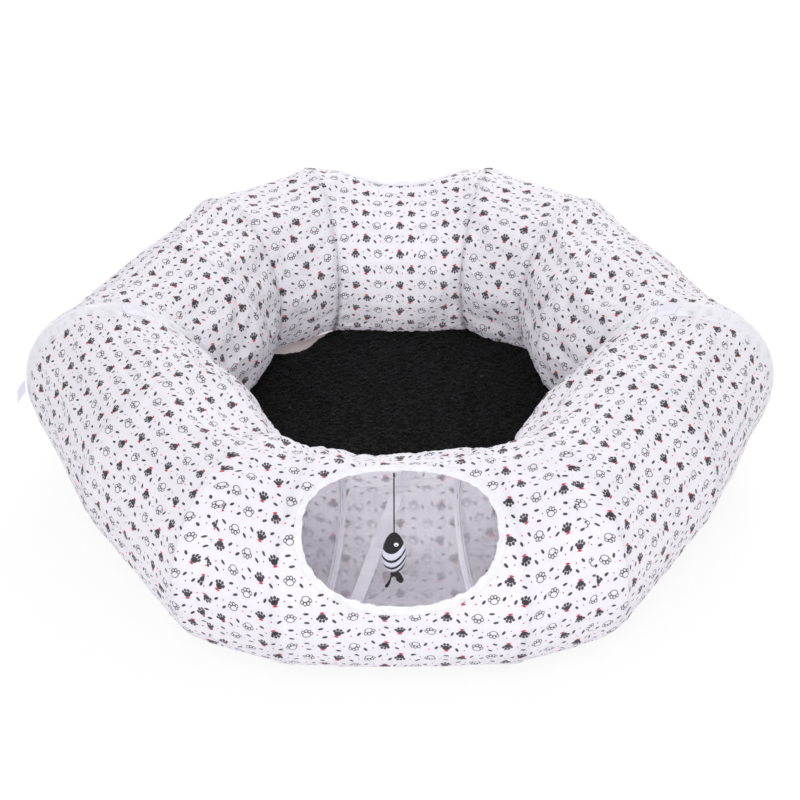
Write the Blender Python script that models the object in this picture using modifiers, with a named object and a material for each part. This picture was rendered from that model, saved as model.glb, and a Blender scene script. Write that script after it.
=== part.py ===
"""Donut cat tunnel: two half rings of printed cloth on spring wire hoops, joined
left and right, with an entrance in the front and in the back, a hanging fish
toy and a plush mat on the floor inside the ring.

Frame: +Z up, the floor at Z = 0, the ring's middle at X = Y = 0. The front
entrance faces -Y and the two halves meet on the X axis. Sizes in metres.
"""

from math import asin, cos, degrees, pi, radians, sin, sqrt

import bmesh
import bpy
from mathutils import Matrix, Vector

# Ring and tunnel
tunnel_height = 0.220
joint_outer_radius = 0.449

# Hoops of the front half: plan angles in degrees from the line through the two
# joints, and how far out each hoop reaches from the ring's middle
front_side_hoop_angle = 33.0
front_side_outer_radius = 0.408
front_shoulder_hoop_angle = 60.0
front_shoulder_outer_radius = 0.447
front_entrance_hoop_angle = 74.0
front_entrance_outer_radius = 0.446
front_entrance_rise = 0.0
front_seam_share = 0.30

# Hoops of the back half. The two beside its entrance are pulled taller.
back_side_hoop_angle = 27.0
back_side_outer_radius = 0.417
back_shoulder_hoop_angle = 50.0
back_shoulder_outer_radius = 0.4655
back_entrance_hoop_angle = 71.0
back_entrance_outer_radius = 0.4565
back_entrance_rise = 0.016
back_seam_share = 1.0

# Cloth, wires and trim
cloth_wall = 0.0012
wire_diameter = 0.0024
wire_clearance = 0.0008
casing_width = 0.012
casing_wall = 0.0008
hem_width = 0.020
hem_wall = 0.0020
front_hem_flare = 0.0030
back_hem_flare = 0.0
binding_width = 0.0095
binding_wall = 0.0026
seat_gap = 0.0003
weld_distance = 0.000001
joint_gap = 0.0006
strap_clearance = 0.0005

# Cloth form: how far it falls in between two hoops, as shares of the radius,
# and how far below the tunnel's middle the floor starts to hold it
crown_sag_share = 0.040
back_entrance_sag_share = 0.100
wall_sag_share = 0.022
scallop_share = 0.012
floor_hold_share = 0.6

# Entrances: an oval cut whose middle looks up and outwards
entrance_width = 0.194
entrance_height = 0.148
front_entrance_tilt = 51.0
back_entrance_tilt = 54.0
entrance_squareness = 2.3

# Joining tapes at the crown of each joint
joint_tape_width = 0.024
joint_tape_length = 0.036
joint_tape_wall = 0.0010

# Seam tape and care label on the inner wall behind the front entrance. The
# shares say where they start and end around the section, from the floor.
seam_tape_width = 0.015
seam_tape_wall = 0.0008
seam_tape_low_x = -0.056
seam_tape_high_x = 0.016
seam_tape_low_share = 0.90
seam_tape_high_share = 0.60
label_width = 0.025
label_left_x = 0.010
label_wall = 0.0006

# Storage strap at the left joint
strap_width = 0.028
strap_length = 0.019
strap_wall = 0.0014
strap_height = 0.117
strap_droop = 55.0

# Mat: a cushion that fills the floor inside the ring
mat_radius = 0.300
mat_wall_clearance = 0.0035
mat_backing_wall = 0.0015
mat_edge_height = 0.018
mat_edge_round = 0.008
mat_edge_draw = 0.004
mat_crown_height = 0.032
wadding_radius = 0.210
wadding_height = 0.010

# Fish toy
toy_x = -0.006
knot_radius = 0.0022
string_diameter = 0.0014
string_length = 0.068
fish_width = 0.0250
fish_thickness = 0.0130
fish_length = 0.0480
fish_head_taper_share = 0.16
fish_belly_taper_share = 0.14
eye_radius = 0.0021
eye_thickness = 0.0012
eye_height_share = 0.78
tail_length = 0.0200
tail_span = 0.0185
tail_root_width = 0.0075
tail_thickness = 0.0024

# Outline of the tail below its root: shares of half its span and of its length
tail_outline_shares = (
    (-0.30, 0.32),
    (-1.00, 1.00),
    (-0.62, 0.96),
    (0.00, 0.42),
    (0.55, 0.70),
    (1.00, 0.58),
    (0.80, 0.30),
)

# Counts
section_sides = 20
side_strip_count = 4
seam_strip_count = 2
entrance_strip_count = 4
wire_resolution = 1
mat_sides = 40
mat_crown_steps = 5
mat_edge_steps = 3
string_points = 21
oval_points = 40

collection = None
cutters = None


def clear_scene():
    for obj in list(bpy.data.objects):
        bpy.data.objects.remove(obj, do_unlink=True)


def new_collection(name):
    made = bpy.data.collections.new(name)
    bpy.context.scene.collection.children.link(made)
    return made


def material(name, colour, roughness, metallic=0.0):
    made = bpy.data.materials.get(name)
    if made is None:
        made = bpy.data.materials.new(name)
        made.use_nodes = True
        shader = made.node_tree.nodes["Principled BSDF"]
        shader.inputs["Base Color"].default_value = (*colour, 1.0)
        shader.inputs["Roughness"].default_value = roughness
        shader.inputs["Metallic"].default_value = metallic
    return made


def finish(name):
    """The material of a finish by its name."""
    table = {
        "printed_cloth": ((0.86, 0.85, 0.90), 0.75, 0.0),
        "binding_cloth": ((0.90, 0.90, 0.92), 0.80, 0.0),
        "casing_tape": ((0.80, 0.79, 0.84), 0.80, 0.0),
        "spring_wire": ((0.55, 0.56, 0.58), 0.35, 1.0),
        "hook_tape": ((0.85, 0.85, 0.87), 0.90, 0.0),
        "plush": ((0.012, 0.012, 0.013), 0.95, 0.0),
        "wadding": ((0.85, 0.85, 0.83), 0.95, 0.0),
        "mat_backing": ((0.78, 0.72, 0.70), 0.85, 0.0),
        "toy_black": ((0.015, 0.015, 0.017), 0.80, 0.0),
        "toy_white": ((0.82, 0.82, 0.88), 0.80, 0.0),
    }
    colour, roughness, metallic = table[name]
    return material(name, colour, roughness, metallic)


def mesh_object(name, mesh, finish_name, group=None):
    obj = bpy.data.objects.new(name, mesh)
    (group or collection).objects.link(obj)
    if finish_name:
        mesh.materials.append(finish(finish_name))
    return obj


def cutter_object(name, mesh):
    obj = mesh_object(name, mesh, None, cutters)
    obj.hide_render = True
    obj.display_type = "WIRE"
    return obj


def smooth(obj):
    obj.data.shade_smooth()
    obj.data.set_sharp_from_angle(angle=radians(50))


def cylinder(name, radius, depth, place, sides, finish_name):
    """An upright cylinder, or a cutter of that shape where it has no finish."""
    mesh = bpy.data.meshes.new(name)
    build = bmesh.new()
    bmesh.ops.create_cone(
        build,
        cap_ends=True,
        segments=sides,
        radius1=radius,
        radius2=radius,
        depth=depth,
    )
    build.to_mesh(mesh)
    build.free()
    if finish_name:
        obj = mesh_object(name, mesh, finish_name)
    else:
        obj = cutter_object(name, mesh)
    obj.location = place
    return obj


def solidify(obj, wall, offset):
    made = obj.modifiers.new("wall", "SOLIDIFY")
    made.thickness = wall
    made.offset = offset
    made.use_even_offset = True
    return made


def boolean(obj, cutter, operation):
    made = obj.modifiers.new(cutter.name, "BOOLEAN")
    made.operation = operation
    made.solver = "EXACT"
    made.object = cutter
    return made


# Plan of the ring. A hoop stands in a plane through the ring's vertical axis.
# The front half's angles are negative, the back half's positive.

section_radius = tunnel_height / 2 / cos(pi / section_sides)


class Station:
    """A place along a half ring: an upright section through the ring's axis."""

    def __init__(self, name, angle, outer_radius, rise=0.0):
        self.name = name
        self.angle = radians(angle)
        self.tall = 1 + rise / tunnel_height
        self.wide = 1 - rise / tunnel_height
        self.middle = outer_radius - tunnel_height / 2 * self.wide
        self.middle_height = tunnel_height / 2 * self.tall

    def point(self, turn, radius):
        """A point of the section: turn 0 is outwards, a quarter turn is up."""
        reach = self.middle + radius * cos(turn) * self.wide
        height = self.middle_height + radius * sin(turn) * self.tall
        return Vector((reach * cos(self.angle), reach * sin(self.angle), height))


def section_angle(side):
    """Where a corner of the section stands, from the one right of the floor."""
    return (side + 0.5) * 2 * pi / section_sides - pi / 2


def cloth_freedom(turn):
    """How free the cloth is to move: 1 at the crown, 0 where the floor holds it."""
    return max(0.0, (sin(turn) + floor_hold_share) / (1 + floor_hold_share))


class Half:
    """One half of the ring: its joint planes and hoops, from right to left."""

    def __init__(self, side, sign, hoops, seam_share, flare, entrance_sag, tilt):
        self.side = side
        self.sign = sign
        self.flare = flare
        self.entrance_sag = entrance_sag
        self.tilt = radians(tilt)
        inner_radius = joint_outer_radius - tunnel_height
        edge = degrees(joint_gap / 2 / inner_radius)
        first = degrees((joint_gap / 2 + hem_width / 2) / joint_outer_radius)
        right = [(edge, joint_outer_radius), (first, joint_outer_radius), *hoops]
        left = [(180 - angle, *rest) for angle, *rest in reversed(right)]
        self.stations = [
            Station(f"{side}_hoop_{number}", sign * angle, *rest)
            for number, (angle, *rest) in enumerate(right + left)
        ]
        self.hoops = self.stations[1:-1]
        self.last = len(self.stations) - 1
        self.shoulder = len(right) - 2
        self.entrance = len(right) - 1
        self.right_seam = self.shoulder + seam_share
        self.left_seam = self.last - self.right_seam

    def length(self, span):
        """How long the tunnel's middle line is from one station to the next."""
        first = self.stations[span].point(0, 0)
        return (self.stations[span + 1].point(0, 0) - first).length

    def past(self, position, distance):
        """The position a distance beyond another, or before it if negative."""
        span = int(position)
        if distance < 0 and position == span:
            span -= 1
        return position + distance / self.length(span)

    def sag(self, turn, span, share):
        """How far cloth falls in between two hoops, as a share of the radius."""
        if span in (0, self.last - 1):
            return 0.0
        free = cloth_freedom(turn)
        bow = 4 * share * (1 - share)
        crown = self.entrance_sag if span == self.entrance else crown_sag_share
        depth = wall_sag_share + (crown - wall_sag_share) * max(0.0, sin(turn))
        scallop = scallop_share * max(0.0, -cos(turn)) * sin(3 * pi * share) ** 2
        return free * (bow * depth + scallop * free)

    def flared(self, turn, position):
        """How far a hem stands proud of the cloth, most at the joint plane."""
        near = min(position, self.last - position)
        return self.flare * cloth_freedom(turn) * max(0.0, 1 - near)

    def point(self, position, turn, inset=0.0):
        """A point of the cloth's outer face, or one inset from it."""
        span = min(int(position), self.last - 1)
        share = position - span
        radius = section_radius * (1 - self.sag(turn, span, share)) - inset
        radius += self.flared(turn, position)
        start = self.stations[span].point(turn, radius)
        return start.lerp(self.stations[span + 1].point(turn, radius), share)

    def skin(self, name, positions, inset=0.0):
        """The cloth's face through rings at some positions, facing outwards."""
        turns = [section_angle(side) for side in range(section_sides)]
        rings = [
            [self.point(position, turn, inset) for turn in turns]
            for position in positions
        ]
        mesh = loft(name, rings)
        outward(mesh)
        return mesh

    def middle_reach(self, direction):
        """How far the tunnel's middle line is from the ring's middle, in plan."""
        for first, second in zip(self.stations, self.stations[1:]):
            if abs(direction) <= abs(second.angle):
                break
        start = first.point(0, 0)
        step = second.point(0, 0) - start
        across = cos(direction) * step.y - sin(direction) * step.x
        return (start.x * step.y - start.y * step.x) / across


def loft(name, rings, closed=True):
    """An open skin through rings of points that have like numbers of corners."""
    mesh = bpy.data.meshes.new(name)
    build = bmesh.new()
    rows = [[build.verts.new(point) for point in ring] for ring in rings]
    for row, following in zip(rows, rows[1:]):
        count = len(row)
        for side in range(count if closed else count - 1):
            ahead = (side + 1) % count
            build.faces.new((row[side], row[ahead], following[ahead], following[side]))
    build.normal_update()
    build.to_mesh(mesh)
    build.free()
    return mesh


def outward(mesh):
    """Turns a skin so that its faces look away from the tunnel's middle."""
    build = bmesh.new()
    build.from_mesh(mesh)
    top = max(build.faces, key=lambda face: face.calc_center_median().z)
    if top.normal.z < 0:
        bmesh.ops.reverse_faces(build, faces=build.faces)
    build.to_mesh(mesh)
    build.free()


def shell(name, mesh, wall, finish_name):
    """A skin given its wall, inwards from its outer face."""
    obj = mesh_object(name, mesh, finish_name)
    solidify(obj, wall, -1)
    smooth(obj)
    return obj


def strip_count(half, span):
    """How many strips the cloth of a span between two hoops is made of."""
    if span == half.entrance:
        return entrance_strip_count
    if abs(span - half.entrance) == 1:
        return seam_strip_count
    return side_strip_count


def spread(half, start, end):
    """Positions over a run of cloth, with each span's count of strips."""
    positions = []
    for span in range(int(start), int(end) + 1):
        low = max(start, span)
        high = min(end, span + 1)
        strips = strip_count(half, span)
        positions += [low + (high - low) * step / strips for step in range(strips)]
    return positions + [end]


# Entrances

def oval(width, height):
    """Points of a rounded oval, counter-clockwise from its right end."""
    points = []
    for step in range(oval_points):
        turn = 2 * pi * step / oval_points
        across = abs(cos(turn)) ** (2 / entrance_squareness)
        up = abs(sin(turn)) ** (2 / entrance_squareness)
        points.append(
            (
                width / 2 * across * (1 if cos(turn) >= 0 else -1),
                height / 2 * up * (1 if sin(turn) >= 0 else -1),
            )
        )
    return points


def add_outline(curve, outline):
    """A closed outline of a flat curve."""
    spline = curve.splines.new("POLY")
    spline.points.add(len(outline) - 1)
    for point, (across, up) in zip(spline.points, outline):
        point.co = (across, up, 0.0, 1.0)
    spline.use_cyclic_u = True


def prism(name, outlines, depth, placing):
    """A cutter: flat outlines, drawn through a depth along their own +Z."""
    curve = bpy.data.curves.new(name, "CURVE")
    curve.dimensions = "2D"
    curve.fill_mode = "BOTH"
    curve.extrude = depth / 2
    for outline in outlines:
        add_outline(curve, outline)
    drawn = bpy.data.objects.new(name + "_outline", curve)
    cutters.objects.link(drawn)
    drawn.matrix_world = placing @ Matrix.Translation((0, 0, depth / 2))
    bpy.context.view_layer.update()
    graph = bpy.context.evaluated_depsgraph_get()
    mesh = bpy.data.meshes.new_from_object(drawn.evaluated_get(graph))
    build = bmesh.new()
    build.from_mesh(mesh)
    bmesh.ops.remove_doubles(build, verts=build.verts, dist=weld_distance)
    bmesh.ops.recalc_face_normals(build, faces=build.faces)
    build.to_mesh(mesh)
    build.free()
    obj = cutter_object(name, mesh)
    obj.matrix_world = drawn.matrix_world.copy()
    bpy.data.objects.remove(drawn, do_unlink=True)
    return obj


def entrance_placing(half):
    """Where an entrance's outline lies: its +Z looks up and outwards."""
    hoop = half.stations[half.entrance]
    middle = Vector((0, hoop.point(0, 0).y, hoop.middle_height))
    looks = Vector((0, half.sign * cos(half.tilt), sin(half.tilt)))
    up = Vector((0, -half.sign * sin(half.tilt), cos(half.tilt)))
    placing = Matrix((up.cross(looks), up, looks)).transposed().to_4x4()
    return Matrix.Translation(middle) @ placing


def entrance_panel(half):
    """The cloth between the seams, its entrance and the entrance's binding."""
    start = half.past(half.right_seam, seat_gap)
    positions = spread(half, start, half.past(half.left_seam, -seat_gap))
    placing = entrance_placing(half)
    hole = [oval(entrance_width, entrance_height)]
    cutter = prism(f"{half.side}_entrance_cut", hole, tunnel_height, placing)
    name = f"{half.side}_panel"
    cloth = shell(name, half.skin(name, positions), cloth_wall, "printed_cloth")
    boolean(cloth, cutter, "DIFFERENCE")

    outer = oval(entrance_width - 2 * seat_gap, entrance_height - 2 * seat_gap)
    inner = oval(entrance_width - 2 * binding_width, entrance_height - 2 * binding_width)
    cutter = prism(f"{half.side}_binding_cut", [outer, inner], tunnel_height, placing)
    proud = (binding_wall - cloth_wall) / 2
    name = f"{half.side}_entrance_binding"
    skin = half.skin(name, positions, -proud)
    binding = shell(name, skin, binding_wall, "binding_cloth")
    boolean(binding, cutter, "INTERSECT")


# Hoops, casings and hems

def wire_hoop(hoop, wall):
    """A closed loop of round spring wire just inside the cloth."""
    radius = section_radius - wall - wire_clearance - wire_diameter / 2
    curve = bpy.data.curves.new(hoop.name, "CURVE")
    curve.dimensions = "3D"
    curve.bevel_depth = wire_diameter / 2
    curve.bevel_resolution = wire_resolution
    spline = curve.splines.new("POLY")
    spline.points.add(section_sides - 1)
    for side, point in enumerate(spline.points):
        point.co = (*hoop.point(section_angle(side), radius), 1.0)
    spline.use_cyclic_u = True
    obj = bpy.data.objects.new(hoop.name, curve)
    collection.objects.link(obj)
    curve.materials.append(finish("spring_wire"))


def casing(half, number):
    """The tape that holds a hoop's wire against the cloth, sewn inside."""
    inset = cloth_wall + 2 * wire_clearance + wire_diameter
    reach = casing_width / 2
    positions = (half.past(number, -reach), number, half.past(number, reach))
    name = f"{half.side}_casing_{number}"
    shell(name, half.skin(name, positions, inset), casing_wall, "casing_tape")


def hem(half, name, start, middle, end):
    """The folded end of a half, round its end hoop, standing on the floor."""
    skin = half.skin(name, (start, middle, end))
    shell(name, skin, hem_wall, "binding_cloth")


def side_panel(half, name, start, end):
    """The cloth from a hem to a seam of the entrance panel."""
    skin = half.skin(name, spread(half, start, end))
    shell(name, skin, cloth_wall, "printed_cloth")


def make_half(half):
    """One half of the ring, from the right joint to the left one."""
    first, last = 1, half.last - 1
    reach = hem_width / 2
    right_edge = half.past(first, reach)
    left_edge = half.past(last, -reach)
    hem(half, f"{half.side}_right_hem", 0, first, right_edge)
    hem(half, f"{half.side}_left_hem", left_edge, last, half.last)
    right_edge = half.past(first, reach + seat_gap)
    left_edge = half.past(last, -reach - seat_gap)
    side_panel(half, f"{half.side}_right_panel", right_edge, half.past(half.right_seam, -seat_gap))
    side_panel(half, f"{half.side}_left_panel", half.past(half.left_seam, seat_gap), left_edge)
    entrance_panel(half)
    for number, hoop in enumerate(half.hoops, first):
        at_end = number in (first, last)
        wire_hoop(hoop, hem_wall if at_end else cloth_wall)
        if not at_end:
            casing(half, number)


# Joints between the halves

def box(name, size, place, finish_name, turn=None):
    mesh = bpy.data.meshes.new(name)
    build = bmesh.new()
    bmesh.ops.create_cube(build, size=1.0)
    bmesh.ops.scale(build, vec=size, verts=build.verts)
    build.to_mesh(mesh)
    build.free()
    obj = mesh_object(name, mesh, finish_name)
    obj.matrix_world = Matrix.Translation(place) @ (turn or Matrix.Identity(4))
    return obj


def joint_tapes(side, sign):
    """Loop tape of the front half and hook tape of the back half, at the crown."""
    middle = joint_outer_radius - tunnel_height / 2
    wire_radius = section_radius - hem_wall - wire_clearance - wire_diameter / 2
    wire_middle = tunnel_height / 2 + wire_radius * cos(pi / section_sides)
    top = wire_middle - wire_diameter / 2 - seat_gap
    size = (joint_tape_width, joint_tape_length, joint_tape_wall)
    for layer, name in enumerate((f"{side}_joint_loop_tape", f"{side}_joint_hook_tape")):
        height = top - joint_tape_wall / 2 - layer * (joint_tape_wall + seat_gap)
        box(name, size, (sign * middle, 0, height), "hook_tape")


def storage_strap():
    """A ribbon tab sewn to the outside of the left joint, drooping outwards."""
    turn = asin((strap_height - tunnel_height / 2) / section_radius)
    reach = joint_outer_radius - tunnel_height / 2 + section_radius * cos(turn)
    droop = radians(strap_droop)
    pivot = Vector((-reach - strap_clearance - strap_wall / 2, -strap_width / 2, strap_height))
    placing = Matrix.Rotation(-droop, 4, "Y")
    half_way = Vector((-strap_length / 2, 0, 0))
    box(
        "storage_strap",
        (strap_length, strap_width, strap_wall),
        pivot + placing.to_3x3() @ half_way,
        "binding_cloth",
        placing,
    )


# Trim on the inner wall behind the front entrance

def wall_patch(name, half, inset, wall, finish_name, rows):
    """A thin patch inside the tunnel's cloth. Each row is a section corner and
    the two X places of the patch's edges there."""
    span = half.entrance
    rings = []
    for side, left, right in rows:
        turn = section_angle(side)
        ring = []
        for across in (left, right):
            near = half.point(span, turn, inset)
            far = half.point(span + 1, turn, inset)
            share = (across - near.x) / (far.x - near.x)
            ring.append(half.point(span + share, turn, inset))
        rings.append(ring)
    mesh = loft(name, rings, closed=False)
    build = bmesh.new()
    build.from_mesh(mesh)
    bmesh.ops.subdivide_edges(
        build,
        edges=[edge for edge in build.edges if abs(edge.calc_length()) > 2 * wall],
        cuts=1,
        use_grid_fill=True,
    )
    face = next(iter(build.faces))
    inside = Vector((0, -half.stations[span].middle, tunnel_height / 2))
    if face.normal.dot(inside - face.calc_center_median()) > 0:
        bmesh.ops.reverse_faces(build, faces=build.faces)
    build.to_mesh(mesh)
    build.free()
    obj = mesh_object(name, mesh, finish_name)
    solidify(obj, wall, -1)


def entrance_trim(half):
    """The slanting seam tape and the blank care label on the inner wall."""
    low_side = int(section_sides * seam_tape_low_share)
    high_side = int(section_sides * seam_tape_high_share)
    count = low_side - high_side
    rows = []
    for step in range(count + 1):
        share = step / count
        left = seam_tape_low_x + (seam_tape_high_x - seam_tape_low_x) * share
        rows.append((low_side - step, left, left + seam_tape_width))
    inset = cloth_wall + seat_gap
    wall_patch("front_seam_tape", half, inset, seam_tape_wall, "casing_tape", rows)
    rows = [
        (side, label_left_x, label_left_x + label_width)
        for side in (high_side + 2, high_side + 1)
    ]
    inset += seam_tape_wall + seat_gap
    wall_patch("care_label", half, inset, label_wall, "hook_tape", rows)


# Mat

def mat_outline(halves, direction):
    """How far the mat reaches in a plan direction before the cloth stops it."""
    half = halves[0] if direction < 0 else halves[1]
    lift = tunnel_height / 2 - mat_edge_height + mat_edge_round / 2
    bulge = sqrt((tunnel_height / 2) ** 2 - lift**2)
    return min(mat_radius, half.middle_reach(direction) - bulge - mat_wall_clearance)


def cushion(name, halves, rings, finish_name):
    """A closed body on the mat's outline. Each ring is a share of the way out
    from the middle, how far it then draws in, and its height."""
    mesh = bpy.data.meshes.new(name)
    build = bmesh.new()
    rows = []
    for share, draw, height in rings:
        row = []
        for side in range(mat_sides):
            direction = 2 * pi * (side + 0.5) / mat_sides - pi
            reach = mat_outline(halves, direction) * share - draw
            place = (reach * cos(direction), reach * sin(direction), height)
            row.append(build.verts.new(place))
        rows.append(row)
    for row, following in zip(rows, rows[1:]):
        for side in range(mat_sides):
            ahead = (side + 1) % mat_sides
            build.faces.new((row[side], following[side], following[ahead], row[ahead]))
    build.faces.new(rows[0])
    build.faces.new(reversed(rows[-1]))
    bmesh.ops.recalc_face_normals(build, faces=build.faces)
    build.to_mesh(mesh)
    build.free()
    obj = mesh_object(name, mesh, finish_name)
    smooth(obj)
    return obj


def mat(halves):
    """Backing cloth on the floor, wadding on it, and a domed plush cover."""
    backing = [(1, 0, mat_backing_wall), (1, 0, 0)]
    cushion("mat_backing", halves, backing, "mat_backing")

    base = mat_backing_wall + seat_gap
    middle = (0, 0, base + wadding_height / 2)
    cylinder("mat_wadding", wadding_radius, wadding_height, middle, mat_sides, "wadding")

    rings = []
    for step in range(1, mat_crown_steps + 1):
        share = step / mat_crown_steps
        rise = (mat_crown_height - mat_edge_height) * cos(pi / 2 * share)
        rings.append((share, mat_edge_round * share, mat_edge_height + rise))
    for step in range(1, mat_edge_steps + 1):
        turn = pi / 2 * step / mat_edge_steps
        drop = mat_edge_round * (1 - cos(turn))
        rings.append((1, mat_edge_round * (1 - sin(turn)), mat_edge_height - drop))
    rings.append((1, mat_edge_draw, base))
    plush = cushion("mat_plush", halves, rings, "plush")
    hollow = cylinder(
        "mat_hollow_cut",
        wadding_radius + seat_gap,
        2 * (wadding_height + seat_gap),
        (0, 0, base),
        mat_sides,
        None,
    )
    boolean(plush, hollow, "DIFFERENCE")


# Fish toy

def ball(name, radii, place, finish_name, segments, rings):
    mesh = bpy.data.meshes.new(name)
    build = bmesh.new()
    bmesh.ops.create_uvsphere(build, u_segments=segments, v_segments=rings, radius=1.0)
    bmesh.ops.scale(build, vec=radii, verts=build.verts)
    build.to_mesh(mesh)
    build.free()
    obj = mesh_object(name, mesh, finish_name)
    obj.location = place
    smooth(obj)
    return obj


def toy_string(top, y):
    """The toy's string, straight down from its knot."""
    curve = bpy.data.curves.new("toy_string", "CURVE")
    curve.dimensions = "3D"
    curve.bevel_depth = string_diameter / 2
    curve.bevel_resolution = 2
    curve.use_fill_caps = True
    spline = curve.splines.new("POLY")
    spline.points.add(string_points - 1)
    for step, point in enumerate(spline.points):
        drop = string_length * step / (string_points - 1)
        point.co = (0, 0, -drop, 1.0)
    obj = bpy.data.objects.new("toy_string", curve)
    collection.objects.link(obj)
    obj.location = (toy_x, y, top)
    curve.materials.append(finish("toy_black"))


def fish(top, y):
    """The stuffed fish, head up: body, forked tail and two eyes."""
    middle = top - fish_length / 2
    mesh = bpy.data.meshes.new("fish_body")
    build = bmesh.new()
    bmesh.ops.create_uvsphere(build, u_segments=16, v_segments=12, radius=1.0)
    for vert in build.verts:
        swell = fish_swell(vert.co.z)
        vert.co.x *= fish_width / 2 * swell
        vert.co.y *= fish_thickness / 2 * swell
        vert.co.z *= fish_length / 2
    build.to_mesh(mesh)
    build.free()
    obj = mesh_object("fish_body", mesh, "toy_white")
    obj.location = (toy_x, y, middle)
    smooth(obj)
    fish_tail(top - fish_length - seat_gap, y)

    level = 2 * eye_height_share - 1
    thickness = fish_thickness / 2 * fish_swell(level) * sqrt(1 - level**2)
    reach = thickness + seat_gap + eye_thickness / 2
    for name, side in (("fish_eye_front", -1), ("fish_eye_back", 1)):
        place = (toy_x, y + side * reach, middle + fish_length / 2 * level)
        eye = cylinder(name, eye_radius, eye_thickness, place, 12, "toy_white")
        eye.rotation_euler = (pi / 2, 0, 0)


def fish_swell(level):
    """How full the fish is at a level from -1 at its root to 1 at its head."""
    taper = fish_head_taper_share * level
    return 1.0 - taper - fish_belly_taper_share * max(0.0, -level) ** 2


def fish_tail(root, y):
    """The forked tail, one prong long and thin and the other short and blunt."""
    half_root = tail_root_width / 2
    outline = [(-half_root, 0.0)]
    outline += [
        (tail_span / 2 * across, -tail_length * down)
        for across, down in tail_outline_shares
    ]
    outline.append((half_root, 0.0))
    curve = bpy.data.curves.new("fish_tail", "CURVE")
    curve.dimensions = "2D"
    curve.fill_mode = "BOTH"
    curve.extrude = tail_thickness / 2
    add_outline(curve, outline)
    obj = bpy.data.objects.new("fish_tail", curve)
    collection.objects.link(obj)
    obj.location = (toy_x, y, root)
    obj.rotation_euler = (pi / 2, 0, 0)
    curve.materials.append(finish("toy_black"))


def toy(half):
    """The knot under the entrance's crown, the string and the fish."""
    y = half.stations[half.entrance].point(0, 0).y
    inset = (binding_wall + cloth_wall) / 2
    crown = half.point(half.entrance + 0.5, section_angle(section_sides // 2), inset)
    knot_z = crown.z - seat_gap - knot_radius
    ball("toy_knot", (knot_radius,) * 3, (toy_x, y, knot_z), "toy_black", 10, 8)
    string_top = knot_z - knot_radius - seat_gap
    toy_string(string_top, y)
    fish(string_top - string_length - seat_gap, y)


def main():
    global collection, cutters
    clear_scene()
    collection = new_collection("donut_cat_tunnel")
    cutters = new_collection("cutters")
    front_hoops = [
        (front_side_hoop_angle, front_side_outer_radius),
        (front_shoulder_hoop_angle, front_shoulder_outer_radius),
        (front_entrance_hoop_angle, front_entrance_outer_radius, front_entrance_rise),
    ]
    back_hoops = [
        (back_side_hoop_angle, back_side_outer_radius),
        (back_shoulder_hoop_angle, back_shoulder_outer_radius),
        (back_entrance_hoop_angle, back_entrance_outer_radius, back_entrance_rise),
    ]
    front = Half(
        "front",
        -1,
        front_hoops,
        front_seam_share,
        front_hem_flare,
        crown_sag_share,
        front_entrance_tilt,
    )
    back = Half(
        "back",
        1,
        back_hoops,
        back_seam_share,
        back_hem_flare,
        back_entrance_sag_share,
        back_entrance_tilt,
    )
    make_half(front)
    make_half(back)
    joint_tapes("left", -1)
    joint_tapes("right", 1)
    storage_strap()
    entrance_trim(front)
    mat((front, back))
    toy(front)


main()
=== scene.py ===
"""Donut cat tunnel: the looks of a ring tunnel of printed cloth on spring hoops,
with a bound entrance in the front and in the back, a hanging fish toy and a
black plush mat on the floor inside the ring.
"""

from functools import lru_cache
from math import asin, atan2, ceil, cos, degrees, exp, floor, hypot, pi, radians, sin, sqrt

import bmesh
import bpy
from mathutils import Matrix, Vector, noise
from mathutils.bvhtree import BVHTree
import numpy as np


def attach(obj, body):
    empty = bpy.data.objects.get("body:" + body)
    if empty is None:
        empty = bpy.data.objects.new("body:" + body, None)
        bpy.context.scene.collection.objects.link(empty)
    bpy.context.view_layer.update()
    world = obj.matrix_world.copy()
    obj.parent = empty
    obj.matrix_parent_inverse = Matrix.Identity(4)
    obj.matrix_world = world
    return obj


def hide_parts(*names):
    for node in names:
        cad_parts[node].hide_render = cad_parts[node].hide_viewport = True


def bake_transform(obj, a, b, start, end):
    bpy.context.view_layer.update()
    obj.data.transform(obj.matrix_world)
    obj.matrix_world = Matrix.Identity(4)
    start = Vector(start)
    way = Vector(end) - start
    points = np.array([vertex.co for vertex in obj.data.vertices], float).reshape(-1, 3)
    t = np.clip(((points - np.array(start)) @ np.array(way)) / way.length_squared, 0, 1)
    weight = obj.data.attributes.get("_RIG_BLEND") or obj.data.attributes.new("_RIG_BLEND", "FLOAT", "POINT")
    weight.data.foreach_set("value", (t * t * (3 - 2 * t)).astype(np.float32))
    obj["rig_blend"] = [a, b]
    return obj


bl_info = {
    "name": "Donut Cat Tunnel",
    "version": (1, 0, 0),
    "blender": (4, 5, 0),
    "location": "3D View > Sidebar > Cat Tunnel",
    "description": "Builds the cloth, trim, mat and toy of a ring tunnel for cats",
    "category": "Add Mesh",
}

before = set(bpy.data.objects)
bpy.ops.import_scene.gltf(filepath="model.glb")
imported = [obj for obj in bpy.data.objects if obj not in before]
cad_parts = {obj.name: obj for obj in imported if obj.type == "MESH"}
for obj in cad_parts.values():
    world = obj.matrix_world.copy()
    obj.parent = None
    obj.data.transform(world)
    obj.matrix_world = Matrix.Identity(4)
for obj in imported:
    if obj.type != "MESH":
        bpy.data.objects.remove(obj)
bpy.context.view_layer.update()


def screen_colour(red, green, blue):
    """A colour given as it looks on a screen, 0 to 255, as light values."""
    values = []
    for part in (red, green, blue):
        share = part / 255
        if share <= 0.04045:
            values.append(share / 12.92)
        else:
            values.append(((share + 0.055) / 1.055) ** 2.4)
    return tuple(values)


# Plan of the ring: hoops stand in planes through the ring's upright axis.

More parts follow.
